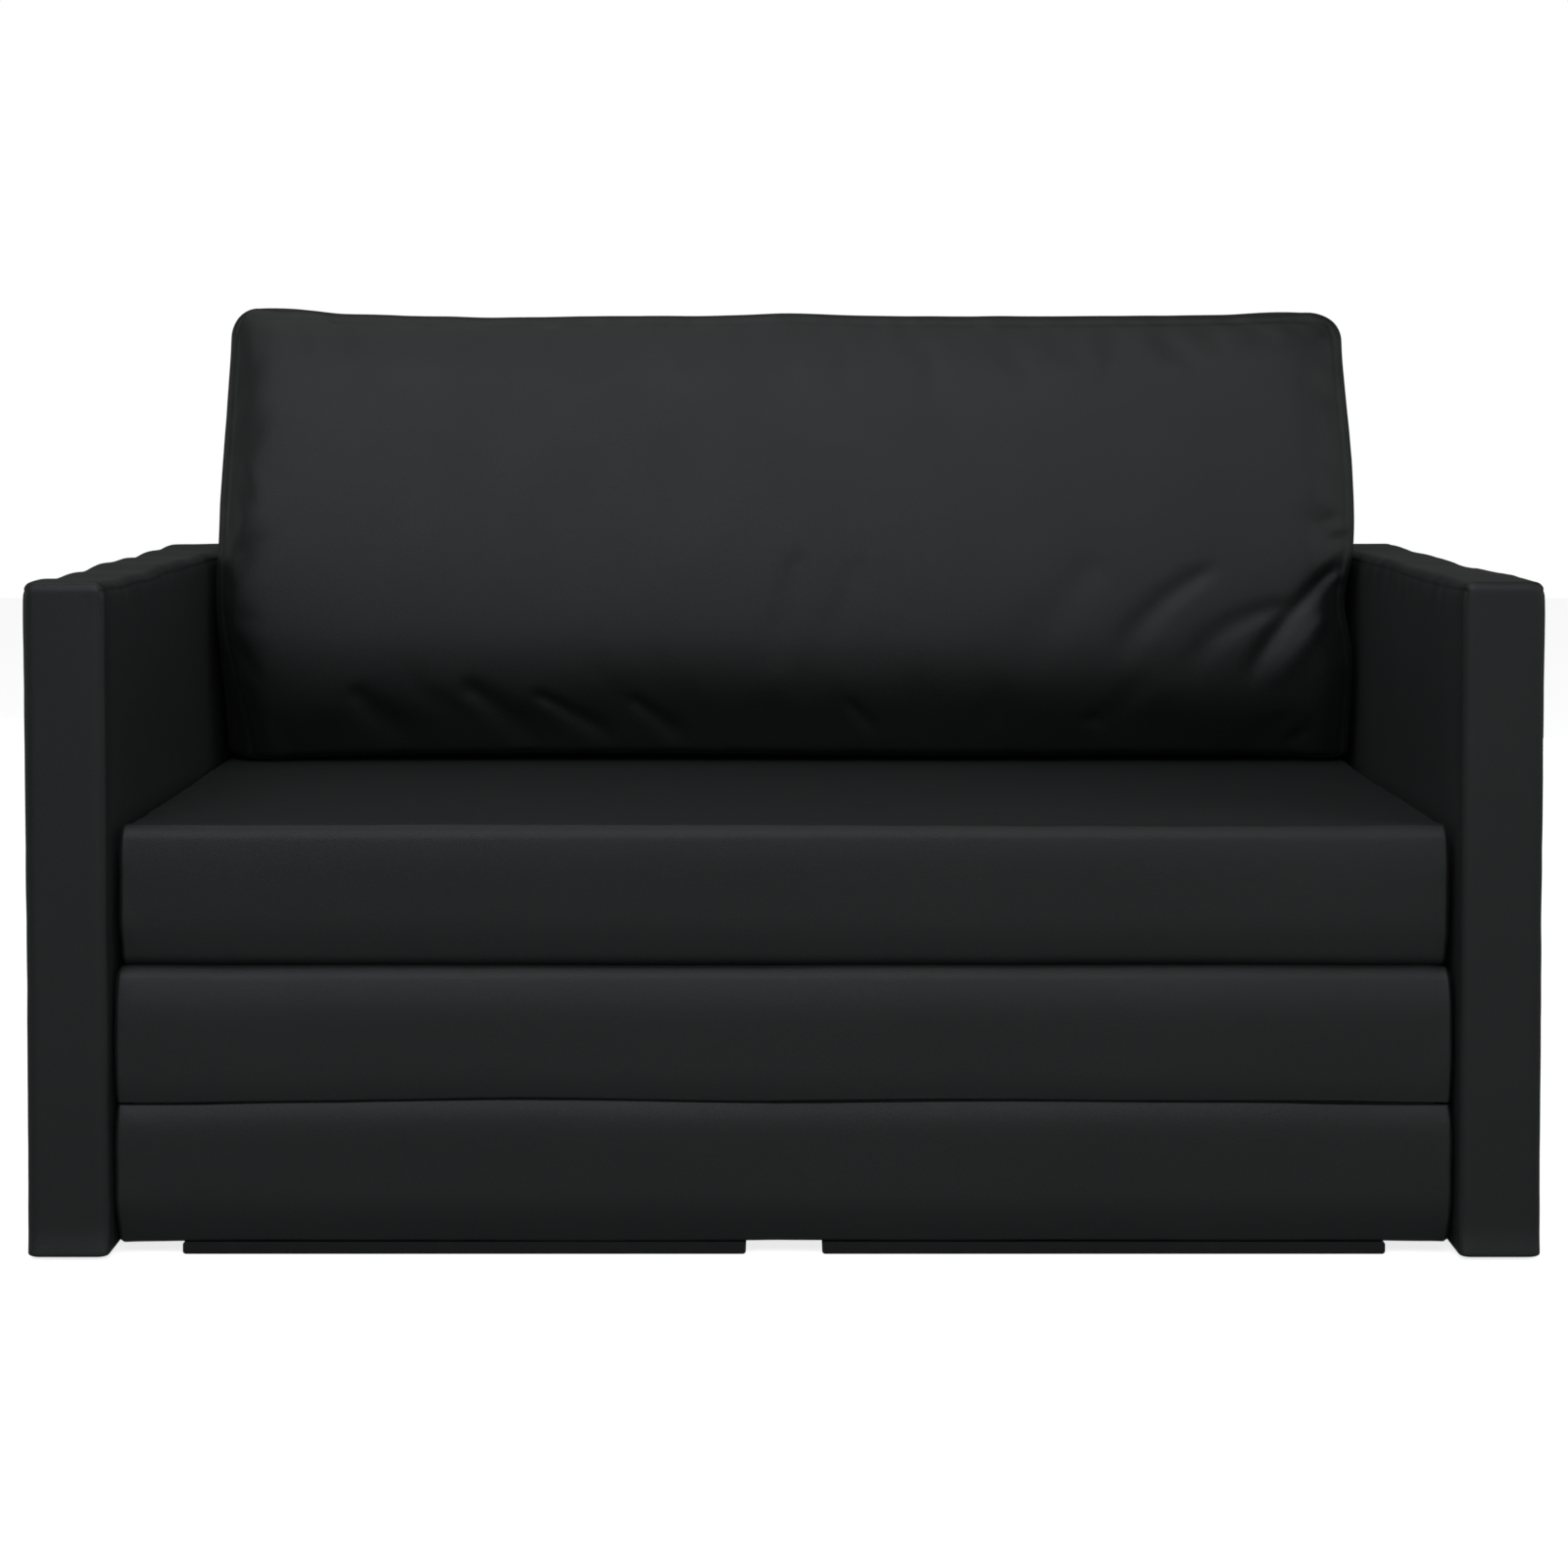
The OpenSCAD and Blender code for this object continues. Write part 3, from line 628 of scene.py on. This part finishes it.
class Material:
    """A Principled material, and short calls that add nodes for its patterns, which are in object space."""

    def __init__(self, name, roughness, metallic=0.0, specular=0.5, **sockets):
        self.material = bpy.data.materials.new(name)
        self.material.use_nodes = True
        self.tree = self.material.node_tree
        self.shader = self.tree.nodes["Principled BSDF"]
        self.shader.inputs["Roughness"].default_value = roughness
        self.shader.inputs["Metallic"].default_value = metallic
        self.shader.inputs["Specular IOR Level"].default_value = specular
        for socket, value in sockets.items():
            self.shader.inputs[socket.replace("_", " ")].default_value = value
        self.place = self.node("ShaderNodeTexCoord").outputs["Object"]
        self.height = None

    def node(self, kind, inputs=(), **settings):
        made = self.tree.nodes.new(kind)
        for setting, value in settings.items():
            setattr(made, setting, value)
        for socket, value in dict(inputs).items():
            self.feed(made.inputs[socket], value)
        return made

    def feed(self, socket, value):
        if isinstance(value, bpy.types.NodeSocket):
            self.tree.links.new(value, socket)
        else:
            socket.default_value = value

    def stretched(self, x, y, z):
        """Object space, scaled along each axis."""
        return self.node("ShaderNodeMapping", {"Vector": self.place, "Scale": (x, y, z)}).outputs["Vector"]

    def noise(self, scale, detail=3.0, place=None, distortion=0.0):
        inputs = {"Vector": place or self.place, "Scale": scale, "Detail": detail, "Distortion": distortion}
        return self.node("ShaderNodeTexNoise", inputs).outputs["Fac"]

    def cells(self, scale, feature="DISTANCE_TO_EDGE", place=None):
        inputs = {"Vector": place or self.place, "Scale": scale}
        return self.node("ShaderNodeTexVoronoi", inputs, feature=feature).outputs["Distance"]

    def waves(self, scale, axis, distortion=0.0, place=None, detail_scale=1.0):
        inputs = {"Vector": place or self.place, "Scale": scale, "Distortion": distortion,
                  "Detail Scale": detail_scale}
        return self.node("ShaderNodeTexWave", inputs, bands_direction=axis).outputs["Fac"]

    def ramp(self, value, low, high, start=0.0, end=1.0):
        """value mapped from low..high to start..end, and held there past both ends."""
        inputs = {"Value": value, "From Min": low, "From Max": high, "To Min": start, "To Max": end}
        return self.node("ShaderNodeMapRange", inputs).outputs["Result"]

    def math(self, operation, a, b):
        return self.node("ShaderNodeMath", {0: a, 1: b}, operation=operation).outputs["Value"]

    def colour(self, share, low, high):
        """Fades the base colour from low to high. low may be the result of an earlier call."""
        mix = self.node("ShaderNodeMix", data_type="RGBA")
        self.feed(mix.inputs["Factor"], share)
        self.feed(mix.inputs["A"], low if isinstance(low, bpy.types.NodeSocket) else (*low, 1))
        self.feed(mix.inputs["B"], (*high, 1))
        self.feed(self.shader.inputs["Base Color"], mix.outputs["Result"])
        return mix.outputs["Result"]

    def rough(self, value):
        self.feed(self.shader.inputs["Roughness"], value)

    def bump(self, value, depth, strength=1.0):
        """Adds a bump of this depth in metres on top of the bumps added before."""
        inputs = {"Height": value, "Distance": depth, "Strength": strength}
        if self.height:
            inputs["Normal"] = self.height
        self.height = self.node("ShaderNodeBump", inputs).outputs["Normal"]
        self.feed(self.shader.inputs["Normal"], self.height)


def leather():
    """Black faux leather: a fine pebbled grain, soft mottling, edges rubbed lighter and smoother, and painted
    shade as a thin dark line along each seam.
    """
    m = Material("leather_cover", roughness=0.46, specular=0.3, Sheen_Weight=0.02, Sheen_Roughness=0.5)
    mottle = m.noise(7.0, detail=4.0)
    base = m.colour(m.ramp(mottle, 0.3, 0.7), (0.0058, 0.0068, 0.0063), (0.0070, 0.0081, 0.0075))
    seam = m.node("ShaderNodeAttribute", attribute_name="seam").outputs["Fac"]
    rubbed = m.math("MULTIPLY", m.ramp(seam, 0.003, 0.012, 1.0, 0.0), m.ramp(m.noise(38.0), 0.45, 0.7))
    base = m.colour(m.math("MULTIPLY", rubbed, 0.3), base, (0.013, 0.0145, 0.0138))
    # Painted shade: within about a millimetre of each seam the colour darkens towards black, drawing the
    # seam's groove as a dark line.
    m.colour(m.ramp(seam, 0.0003, 0.0012, 0.4, 0.0), base, (0.0016, 0.0017, 0.0016))
    patches = m.ramp(m.noise(16.0, detail=5.0), 0.3, 0.7, 0.455, 0.485)
    m.rough(m.math("SUBTRACT", patches, m.math("MULTIPLY", rubbed, 0.04)))
    m.bump(m.ramp(m.cells(620.0), 0.0, 0.22), 0.00012, 0.4)
    m.bump(m.noise(210.0, detail=3.0), 0.0002, 0.2)
    return m.material


def woven(name, base, thread=0.0008):
    """Woven tape: threads over and under each other."""
    m = Material(name, roughness=0.85, specular=0.15, Sheen_Weight=0.03)
    across = m.waves(1 / (2 * math.pi * thread) * 3, "X")
    along = m.waves(1 / (2 * math.pi * thread) * 3, "Z")
    weave = m.math("MAXIMUM", across, along)
    light = tuple(c * 1.9 for c in base)
    m.colour(m.math("MULTIPLY", weave, m.ramp(m.noise(60.0), 0.3, 0.7, 0.5, 1.0)), base, light)
    m.bump(weave, thread * 0.3, 0.7)
    return m.material


def pile():
    """Hook-and-loop: a matte pile of tiny loops."""
    m = Material("hook_and_loop", roughness=0.9, specular=0.2, Sheen_Weight=0.4)
    loops = m.cells(900.0, feature="F1")
    m.colour(m.ramp(loops, 0.0, 0.6), (0.035, 0.036, 0.037), (0.010, 0.010, 0.011))
    m.bump(loops, 0.0006)
    return m.material


def foam():
    m = Material("foam", roughness=0.95, specular=0.2, Subsurface_Weight=0.05)
    pores = m.cells(420.0, feature="F1")
    base = m.colour(m.noise(5.0), (0.78, 0.67, 0.38), (0.84, 0.75, 0.48))
    m.colour(m.ramp(pores, 0.0, 0.25, 0.6, 0.0), base, (0.45, 0.36, 0.17))
    m.bump(pores, 0.0008, 0.6)
    return m.material


def fibre_fill():
    m = Material("polyester_fill", roughness=0.9, specular=0.25, Sheen_Weight=0.5)
    strands = m.noise(60.0, detail=8.0, place=m.stretched(1.0, 2.5, 4.0), distortion=1.5)
    m.colour(strands, (0.70, 0.69, 0.65), (0.92, 0.91, 0.88))
    m.bump(strands, 0.003, 0.8)
    return m.material


def timber(name, axis):
    """Planed pine, its grain along axis."""
    m = Material(name, roughness=0.62, specular=0.35)
    scale = [1.0, 1.0, 1.0]
    scale[axis] = 0.06
    place = m.stretched(*scale)
    rings = m.waves(55.0, "DIAGONAL", distortion=3.5, place=place, detail_scale=1.5)
    fibres = m.noise(260.0, detail=4.0, place=place)
    base = m.colour(m.ramp(rings, 0.35, 0.95), (0.70, 0.51, 0.29), (0.50, 0.30, 0.13))
    m.colour(m.ramp(fibres, 0.55, 0.8, 0.0, 0.35), base, (0.42, 0.26, 0.12))
    m.rough(m.ramp(rings, 0.0, 1.0, 0.68, 0.52))
    m.bump(fibres, 0.0003, 0.6)
    return m.material


def hardboard():
    m = Material("hardboard", roughness=0.5, specular=0.4)
    fibres = m.noise(320.0, detail=6.0, distortion=0.6)
    base = m.colour(fibres, (0.20, 0.105, 0.045), (0.33, 0.19, 0.09))
    m.colour(m.ramp(m.noise(12.0), 0.45, 0.7, 0.0, 0.4), base, (0.17, 0.09, 0.04))
    m.bump(fibres, 0.0002, 0.4)
    return m.material


def black_laminate():
    """The base boards: a thin black laminate with a fine orange-peel face, scuffed a little."""
    m = Material("base_board", roughness=0.55, specular=0.2)
    scuffs = m.ramp(m.noise(30.0, detail=8.0, place=m.stretched(1.0, 6.0, 1.0)), 0.62, 0.8)
    base = m.colour(m.noise(90.0), (0.0045, 0.0048, 0.0047), (0.0070, 0.0074, 0.0072))
    m.colour(m.math("MULTIPLY", scuffs, 0.4), base, (0.016, 0.016, 0.016))
    m.rough(m.ramp(m.noise(24.0, detail=4.0), 0.3, 0.7, 0.44, 0.58))
    m.bump(m.noise(700.0, detail=2.0), 0.00008, 0.6)
    return m.material


def plated(name, bright, dull):
    """Zinc plated steel: a cloudy, slightly brushed bright surface."""
    m = Material(name, roughness=0.34, metallic=1.0)
    clouds = m.noise(140.0, detail=4.0, distortion=0.8)
    spangle = m.cells(420.0, feature="F1")
    base = m.colour(clouds, dull, bright)
    m.colour(m.ramp(spangle, 0.0, 0.5, 0.25, 0.0), base, tuple(c * 0.7 for c in dull))
    m.rough(m.ramp(clouds, 0.3, 0.7, 0.26, 0.44))
    m.bump(m.noise(900.0, place=m.stretched(1.0, 0.1, 1.0)), 0.00004, 0.5)
    return m.material


def moulded_plastic():
    m = Material("glide_plastic", roughness=0.55, specular=0.45)
    m.colour(m.noise(200.0), (0.012, 0.012, 0.013), (0.022, 0.022, 0.024))
    m.rough(m.ramp(m.noise(350.0, detail=4.0), 0.3, 0.7, 0.5, 0.66))
    m.bump(m.cells(1500.0, feature="F1"), 0.00006, 0.5)
    return m.material


def enamel():
    """Black enamel on the zip slider, worn to metal in specks."""
    m = Material("zip_metal", roughness=0.3, metallic=0.6)
    specks = m.ramp(m.noise(900.0, detail=6.0), 0.66, 0.74)
    base = m.colour(m.noise(300.0), (0.018, 0.018, 0.020), (0.034, 0.034, 0.036))
    m.colour(specks, base, (0.35, 0.35, 0.36))
    m.rough(m.ramp(m.noise(500.0), 0.3, 0.7, 0.24, 0.4))
    m.bump(m.noise(600.0), 0.00005, 0.5)
    return m.material


def nylon():
    m = Material("zip_teeth", roughness=0.35, specular=0.5)
    m.colour(m.noise(800.0), (0.010, 0.010, 0.011), (0.020, 0.020, 0.022))
    m.bump(m.noise(1500.0), 0.00004, 0.5)
    return m.material


def dress(piece, material):
    piece.data.materials.clear()
    piece.data.materials.append(material)


# ---- making the upholstery ----

ARM_EDGE = 10 * MM
BACK_EDGE = 9 * MM

LEATHER = leather()
FOAM = foam()
FILLING = fibre_fill()

left_arm = padded_panel("left_arm_leather", "left_arm_cover", X, ARM_EDGE, step=10 * MM)
right_arm = padded_panel("right_arm_leather", "right_arm_cover", X, ARM_EDGE, step=10 * MM)
back = padded_panel("back_leather", "back_cover", Y, BACK_EDGE, step=13 * MM)
lower = slab("lower_slab_case", "lower_slab_cover", low_radius=3 * MM, top_radius=1.2 * MM)
middle = slab("middle_slab_case", "middle_slab_cover", low_radius=1.2 * MM, top_radius=10 * MM)
seat = slab("seat_slab_case", "top_slab_cover", low_radius=11 * MM, top_radius=12 * MM)
loose = cushion()

blow_up([
    Puff(left_arm, X, pressure=2.5, cap=5 * MM, gather=0.01, held=held_edges(left_arm, X)),
    Puff(right_arm, X, pressure=2.5, cap=5 * MM, gather=0.01, held=held_edges(right_arm, X)),
    Puff(back, Y, pressure=2.0, cap=5 * MM, gather=0.01, held=held_edges(back, Y)),
    Puff(lower, X, pressure=2.0, cap=5 * MM, gather=0.01),
    Puff(middle, X, pressure=2.0, cap=5 * MM, gather=0.01),
    Puff(seat, X, pressure=2.0, cap=6 * MM, gather=0.01),
    Puff(loose, Y, pressure=4.0, cap=CUSHION_SWELL, gather=0.04, bending=0.8),
])

# How far the slab fronts curve in towards an edge, and from how far away, as lists of (depth, reach) pairs:
# at the foot, at a free lower and a free upper edge, at the seat's edge, above and below the front crease.
FOOT_EDGE = [(11 * MM, 34 * MM)]
FREE_LOW = [(7 * MM, 38 * MM)]
FREE_HIGH = [(8 * MM, 40 * MM)]
SEAT_EDGE = [(4 * MM, 34 * MM)]
ABOVE_CREASE = [(2.5 * MM, 20 * MM)]
BELOW_CREASE = [(3.0 * MM, 26 * MM), (3.0 * MM, 8 * MM)]

insides = {
    "left_arm_padding": finish_panel(left_arm, X, seed=11),
    "right_arm_padding": finish_panel(right_arm, X, seed=12),
    "back_padding": finish_panel(back, Y, seed=13),
    "lower_slab_core": finish_slab(lower, FOOT_EDGE, BELOW_CREASE, seed=21, close=(2.4 * MM, 1.0 * MM)),
    "middle_slab_core": finish_slab(middle, ABOVE_CREASE, FREE_HIGH, seed=22, close=(0.9 * MM, 0.9 * MM)),
    "top_slab_core": finish_slab(seat, FREE_LOW, SEAT_EDGE, seed=23, close=(0.9 * MM, 0.0)),
    "cushion_filling": finish_cushion(loose),
}


def upholster(block, node, body):
    piece = block.piece
    dress(piece, LEATHER)
    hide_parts(node)
    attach(piece, body)


def fill_case(block, points, node, body, slot):
    """The foam or fibre filling inside a case, a little smaller than the case all over."""
    mesh = bpy.data.meshes.new(node + "_inside")
    mesh.from_pydata(points.tolist(), [], block.quads)
    mesh.shade_smooth()
    piece = bpy.data.objects.new(node + "_soft", mesh)
    scene.collection.objects.link(piece)
    dress(piece, FILLING if slot == "polyester_fill" else FOAM)
    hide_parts(node)
    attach(piece, body)
    return piece


UPHOLSTERY = [
    # case, its CAD cover, what fills it, body, filling's slot, how full the case is
    (left_arm, "left_arm_cover", "left_arm_padding", "frame", "foam", 1.0),
    (right_arm, "right_arm_cover", "right_arm_padding", "frame", "foam", 1.0),
    (back, "back_cover", "back_padding", "frame", "foam", 1.0),
    (lower, "lower_slab_cover", "lower_slab_core", "frame", "foam", 0.9),
    (middle, "middle_slab_cover", "middle_slab_core", "middle_slab", "foam", 0.9),
    (seat, "top_slab_cover", "top_slab_core", "top_slab", "foam", 0.9),
    (loose, "cushion_cover", "cushion_filling", "cushion", "polyester_fill", 0.8),
]

FRONT_HINGE, front_crease, front_reach = hinge_cloth(
    "front_hinge_cloth", "front_hinge_lower_leaf", "front_hinge_upper_leaf", rear=False)
REAR_HINGE, rear_crease, rear_reach = hinge_cloth(
    "rear_hinge_cloth", "rear_hinge_lower_leaf", "rear_hinge_upper_leaf", rear=True)

HINGE_WEAVE = woven("hinge_cloth", (0.004, 0.0042, 0.0042))
for strip, crease, reach, below, above, cases in (
        (FRONT_HINGE, front_crease, front_reach, "frame", "middle_slab", [lower.piece, middle.piece]),
        (REAR_HINGE, rear_crease, rear_reach, "middle_slab", "top_slab", [middle.piece, seat.piece])):
    dress(strip, HINGE_WEAVE)
    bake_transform(strip)

cores = {}
for case, cover, inside, body, slot_name, fullness in UPHOLSTERY:
    upholster(case, cover, body)
    cores[inside] = fill_case(case, insides[inside], inside, body, slot_name)

# The front crease wanders: both slabs, their foam and the cloth between them move together.
for piece in (lower.piece, middle.piece, cores["lower_slab_core"], cores["middle_slab_core"], FRONT_HINGE):
    bend_crease(piece, front_crease)


# ---- the cushion's zip ----

def zip_closure():
    """Two woven tapes along the cushion's lower rear edge, and a row of meshed teeth between them."""
    lo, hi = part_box("cushion_zip_tape")
    middle = (lo + hi) / 2
    across = Vector((0, 1, 1)).normalized()
    out = Vector((0, 1, -1)).normalized()
    half_width = (hi.y - lo.y) / math.sqrt(2) - 0.5 * MM
    half_thick, slit, stations = 0.45 * MM, 0.7 * MM, 240

    tape = bmesh.new()
    for side in (-1, 1):
        corners = [(side * slit, -half_thick), (side * half_width, -half_thick),
                   (side * half_width, half_thick), (side * slit, half_thick)]
        rows = []
        for x in np.linspace(lo.x, hi.x, stations):
            rows.append([tape.verts.new(Vector((x, middle.y, middle.z)) + across * a + out * b)
                         for a, b in corners])
        for near, far in zip(rows, rows[1:]):
            for i in range(4):
                tape.faces.new((near[i], near[(i + 1) % 4], far[(i + 1) % 4], far[i]))
        tape.faces.new(rows[0])
        tape.faces.new(rows[-1])
    bmesh.ops.recalc_face_normals(tape, faces=tape.faces)
    tape_mesh = bpy.data.meshes.new("zip_tapes")
    tape.to_mesh(tape_mesh)
    tape.free()

    teeth = bmesh.new()
    pitch, tooth = 1.9 * MM, Vector((0.62 * MM, 1.9 * MM, 0.7 * MM))
    bare_end, stagger, proud, narrowing = 8 * MM, 0.9 * MM, 0.75 * MM, 0.72
    count = int((hi.x - lo.x - 2 * bare_end) / pitch)
    for i in range(count):
        x = lo.x + bare_end + i * pitch
        shift = (1 if i % 2 else -1) * stagger
        made = bmesh.ops.create_cube(teeth, size=2.0)["verts"]
        for v in made:
            local = v.co.copy()
            pinch = narrowing if local.z > 0 else 1.0
            v.co = (Vector((x + local.x * tooth.x, middle.y, middle.z))
                    + across * (shift + local.y * tooth.y * pinch)
                    + out * (proud + local.z * tooth.z))
    teeth_mesh = bpy.data.meshes.new("zip_teeth")
    teeth.to_mesh(teeth_mesh)
    teeth.free()
    for name, mesh, material in (("zip_tapes", tape_mesh, woven("zip_tape", (0.010, 0.010, 0.011))),
                                 ("zip_teeth", teeth_mesh, nylon())):
        piece = bpy.data.objects.new(name, mesh)
        scene.collection.objects.link(piece)
        dress(piece, material)
        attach(piece, "cushion")
        if name == "zip_tapes":
            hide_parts("cushion_zip_tape")


zip_closure()


# ---- materials of the CAD parts ----

PINE = [timber("pine_along_" + letter, axis) for axis, letter in enumerate("xyz")]
PLAIN = {
    "hardboard": hardboard(),
    "base_board": black_laminate(),
    "hook_and_loop": pile(),
    "zinc_steel": plated("zinc_plated", (0.62, 0.63, 0.66), (0.44, 0.45, 0.48)),
    "yellow_zinc_steel": plated("yellow_zinc_plated", (0.70, 0.58, 0.28), (0.50, 0.42, 0.24)),
    "glide_plastic": moulded_plastic(),
    "zip_metal": enamel(),
}
for name, node in frame["nodes"].items():
    if node.hide_render:
        continue
    slot_name = node.data.materials[0].name
    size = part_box(name)[1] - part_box(name)[0]
    material = PINE[list(size).index(max(size))] if slot_name == "timber" else PLAIN[slot_name]
    dress(node, material)


# ---- floor, light and camera ----

def floor():
    """Burnt out white to the eye, and a mid grey for the light that bounces off it."""
    corners = [(FLOOR_HALF * x, FLOOR_HALF * y, 0) for x, y in ((-1, -1), (1, -1), (1, 1), (-1, 1))]
    mesh = bpy.data.meshes.new("floor")
    mesh.from_pydata(corners, [], [(0, 1, 2, 3)])
    plane = bpy.data.objects.new("floor", mesh)
    plane.location.z = -0.5 * MM
    scene.collection.objects.link(plane)
    m = Material("pale_floor", roughness=0.9, specular=0.0)
    seen = m.node("ShaderNodeLightPath").outputs["Is Camera Ray"]
    m.colour(seen, (FLOOR_ALBEDO,) * 3, (0.86, 0.86, 0.86))
    m.shader.inputs["Emission Color"].default_value = (1, 1, 1, 1)
    m.feed(m.shader.inputs["Emission Strength"], m.math("MULTIPLY", seen, FLOOR_GLOW))
    dress(plane, m.material)


def world():
    """White to the eye, and as a source of light a dimmer grey that is stronger from the front."""
    sky = bpy.data.worlds.new("studio")
    scene.world = sky
    sky.use_nodes = True
    tree = sky.node_tree
    seen = tree.nodes.new("ShaderNodeBackground")
    seen.inputs["Color"].default_value = (1, 1, 1, 1)
    lit = tree.nodes["Background"]
    lit.inputs["Color"].default_value = (1, 1, 1, 1)
    path = tree.nodes.new("ShaderNodeLightPath")
    mix = tree.nodes.new("ShaderNodeMixShader")
    facing = tree.nodes.new("ShaderNodeSeparateXYZ")
    tree.links.new(tree.nodes.new("ShaderNodeTexCoord").outputs["Generated"], facing.inputs["Vector"])
    strength = tree.nodes.new("ShaderNodeMath")
    strength.operation = "MULTIPLY_ADD"
    strength.inputs[1].default_value = -AMBIENT * AMBIENT_TILT
    strength.inputs[2].default_value = AMBIENT
    tree.links.new(facing.outputs["Y"], strength.inputs[0])
    tree.links.new(strength.outputs["Value"], lit.inputs["Strength"])
    tree.links.new(path.outputs["Is Camera Ray"], mix.inputs["Fac"])
    tree.links.new(lit.outputs["Background"], mix.inputs[1])
    tree.links.new(seen.outputs["Background"], mix.inputs[2])
    tree.links.new(mix.outputs["Shader"], tree.nodes["World Output"].inputs["Surface"])


def softbox(name, place, aim, size, power, colour):
    light = bpy.data.lights.new(name, "AREA")
    light.shape = "RECTANGLE"
    light.size, light.size_y = size
    light.energy = power
    light.color = colour
    lamp = bpy.data.objects.new(name, light)
    lamp.location = place
    lamp.visible_camera = False
    lamp.rotation_euler = (Vector(aim) - Vector(place)).to_track_quat("-Z", "Y").to_euler()
    scene.collection.objects.link(lamp)


AMBIENT = 0.15
AMBIENT_TILT = 0.4
FLOOR_HALF = 9.0
FLOOR_GLOW = 0.80
FLOOR_ALBEDO = 0.48
CAMERA_PLACE = (0.0, -3.2845, 0.701)
CAMERA_TILT = 2.5
CAMERA_LENS = 83.9
HORIZON_ABOVE_CENTRE = 0.2515

floor()
world()
softbox("key", (-0.55, -3.4, 2.6), (0, 0, 0.45), (3.4, 2.0), 65.0, (0.88, 0.895, 1.0))
softbox("top", (-0.4, -0.5, 3.1), (0, 0, 0.4), (3.0, 2.0), 26.5, (0.92, 0.97, 0.96))
softbox("fill", (0.0, -4.4, 0.45), (0, 0, 0.45), (4.0, 0.9), 11.3, (0.93, 0.99, 0.95))
softbox("side", (3.0, -2.4, 1.8), (0, 0, 0.45), (2.0, 2.0), 25.0, (0.94, 0.97, 1.0))
softbox("left_rim", (-3.6, -0.2, 1.0), (0, 0, 0.5), (2.0, 1.6), 11.0, (0.94, 1.0, 0.96))
softbox("right_rim", (3.6, -0.2, 1.0), (0, 0, 0.5), (2.0, 1.6), 8.0, (0.94, 1.0, 0.96))
softbox("rear", (0.6, 4.2, 0.27), (0, 0, 0.27), (3.6, 0.46), 26.0, (0.94, 0.98, 1.0))

lens = bpy.data.cameras.new("camera")
lens.lens = CAMERA_LENS
lens.shift_y = math.tan(math.radians(CAMERA_TILT)) * CAMERA_LENS / lens.sensor_width - HORIZON_ABOVE_CENTRE
lens.clip_end = 60
camera = bpy.data.objects.new("camera", lens)
camera.location = CAMERA_PLACE
camera.rotation_euler = (math.radians(90 - CAMERA_TILT), 0, 0)
scene.collection.objects.link(camera)
scene.camera = camera
scene.view_settings.view_transform = "Standard"
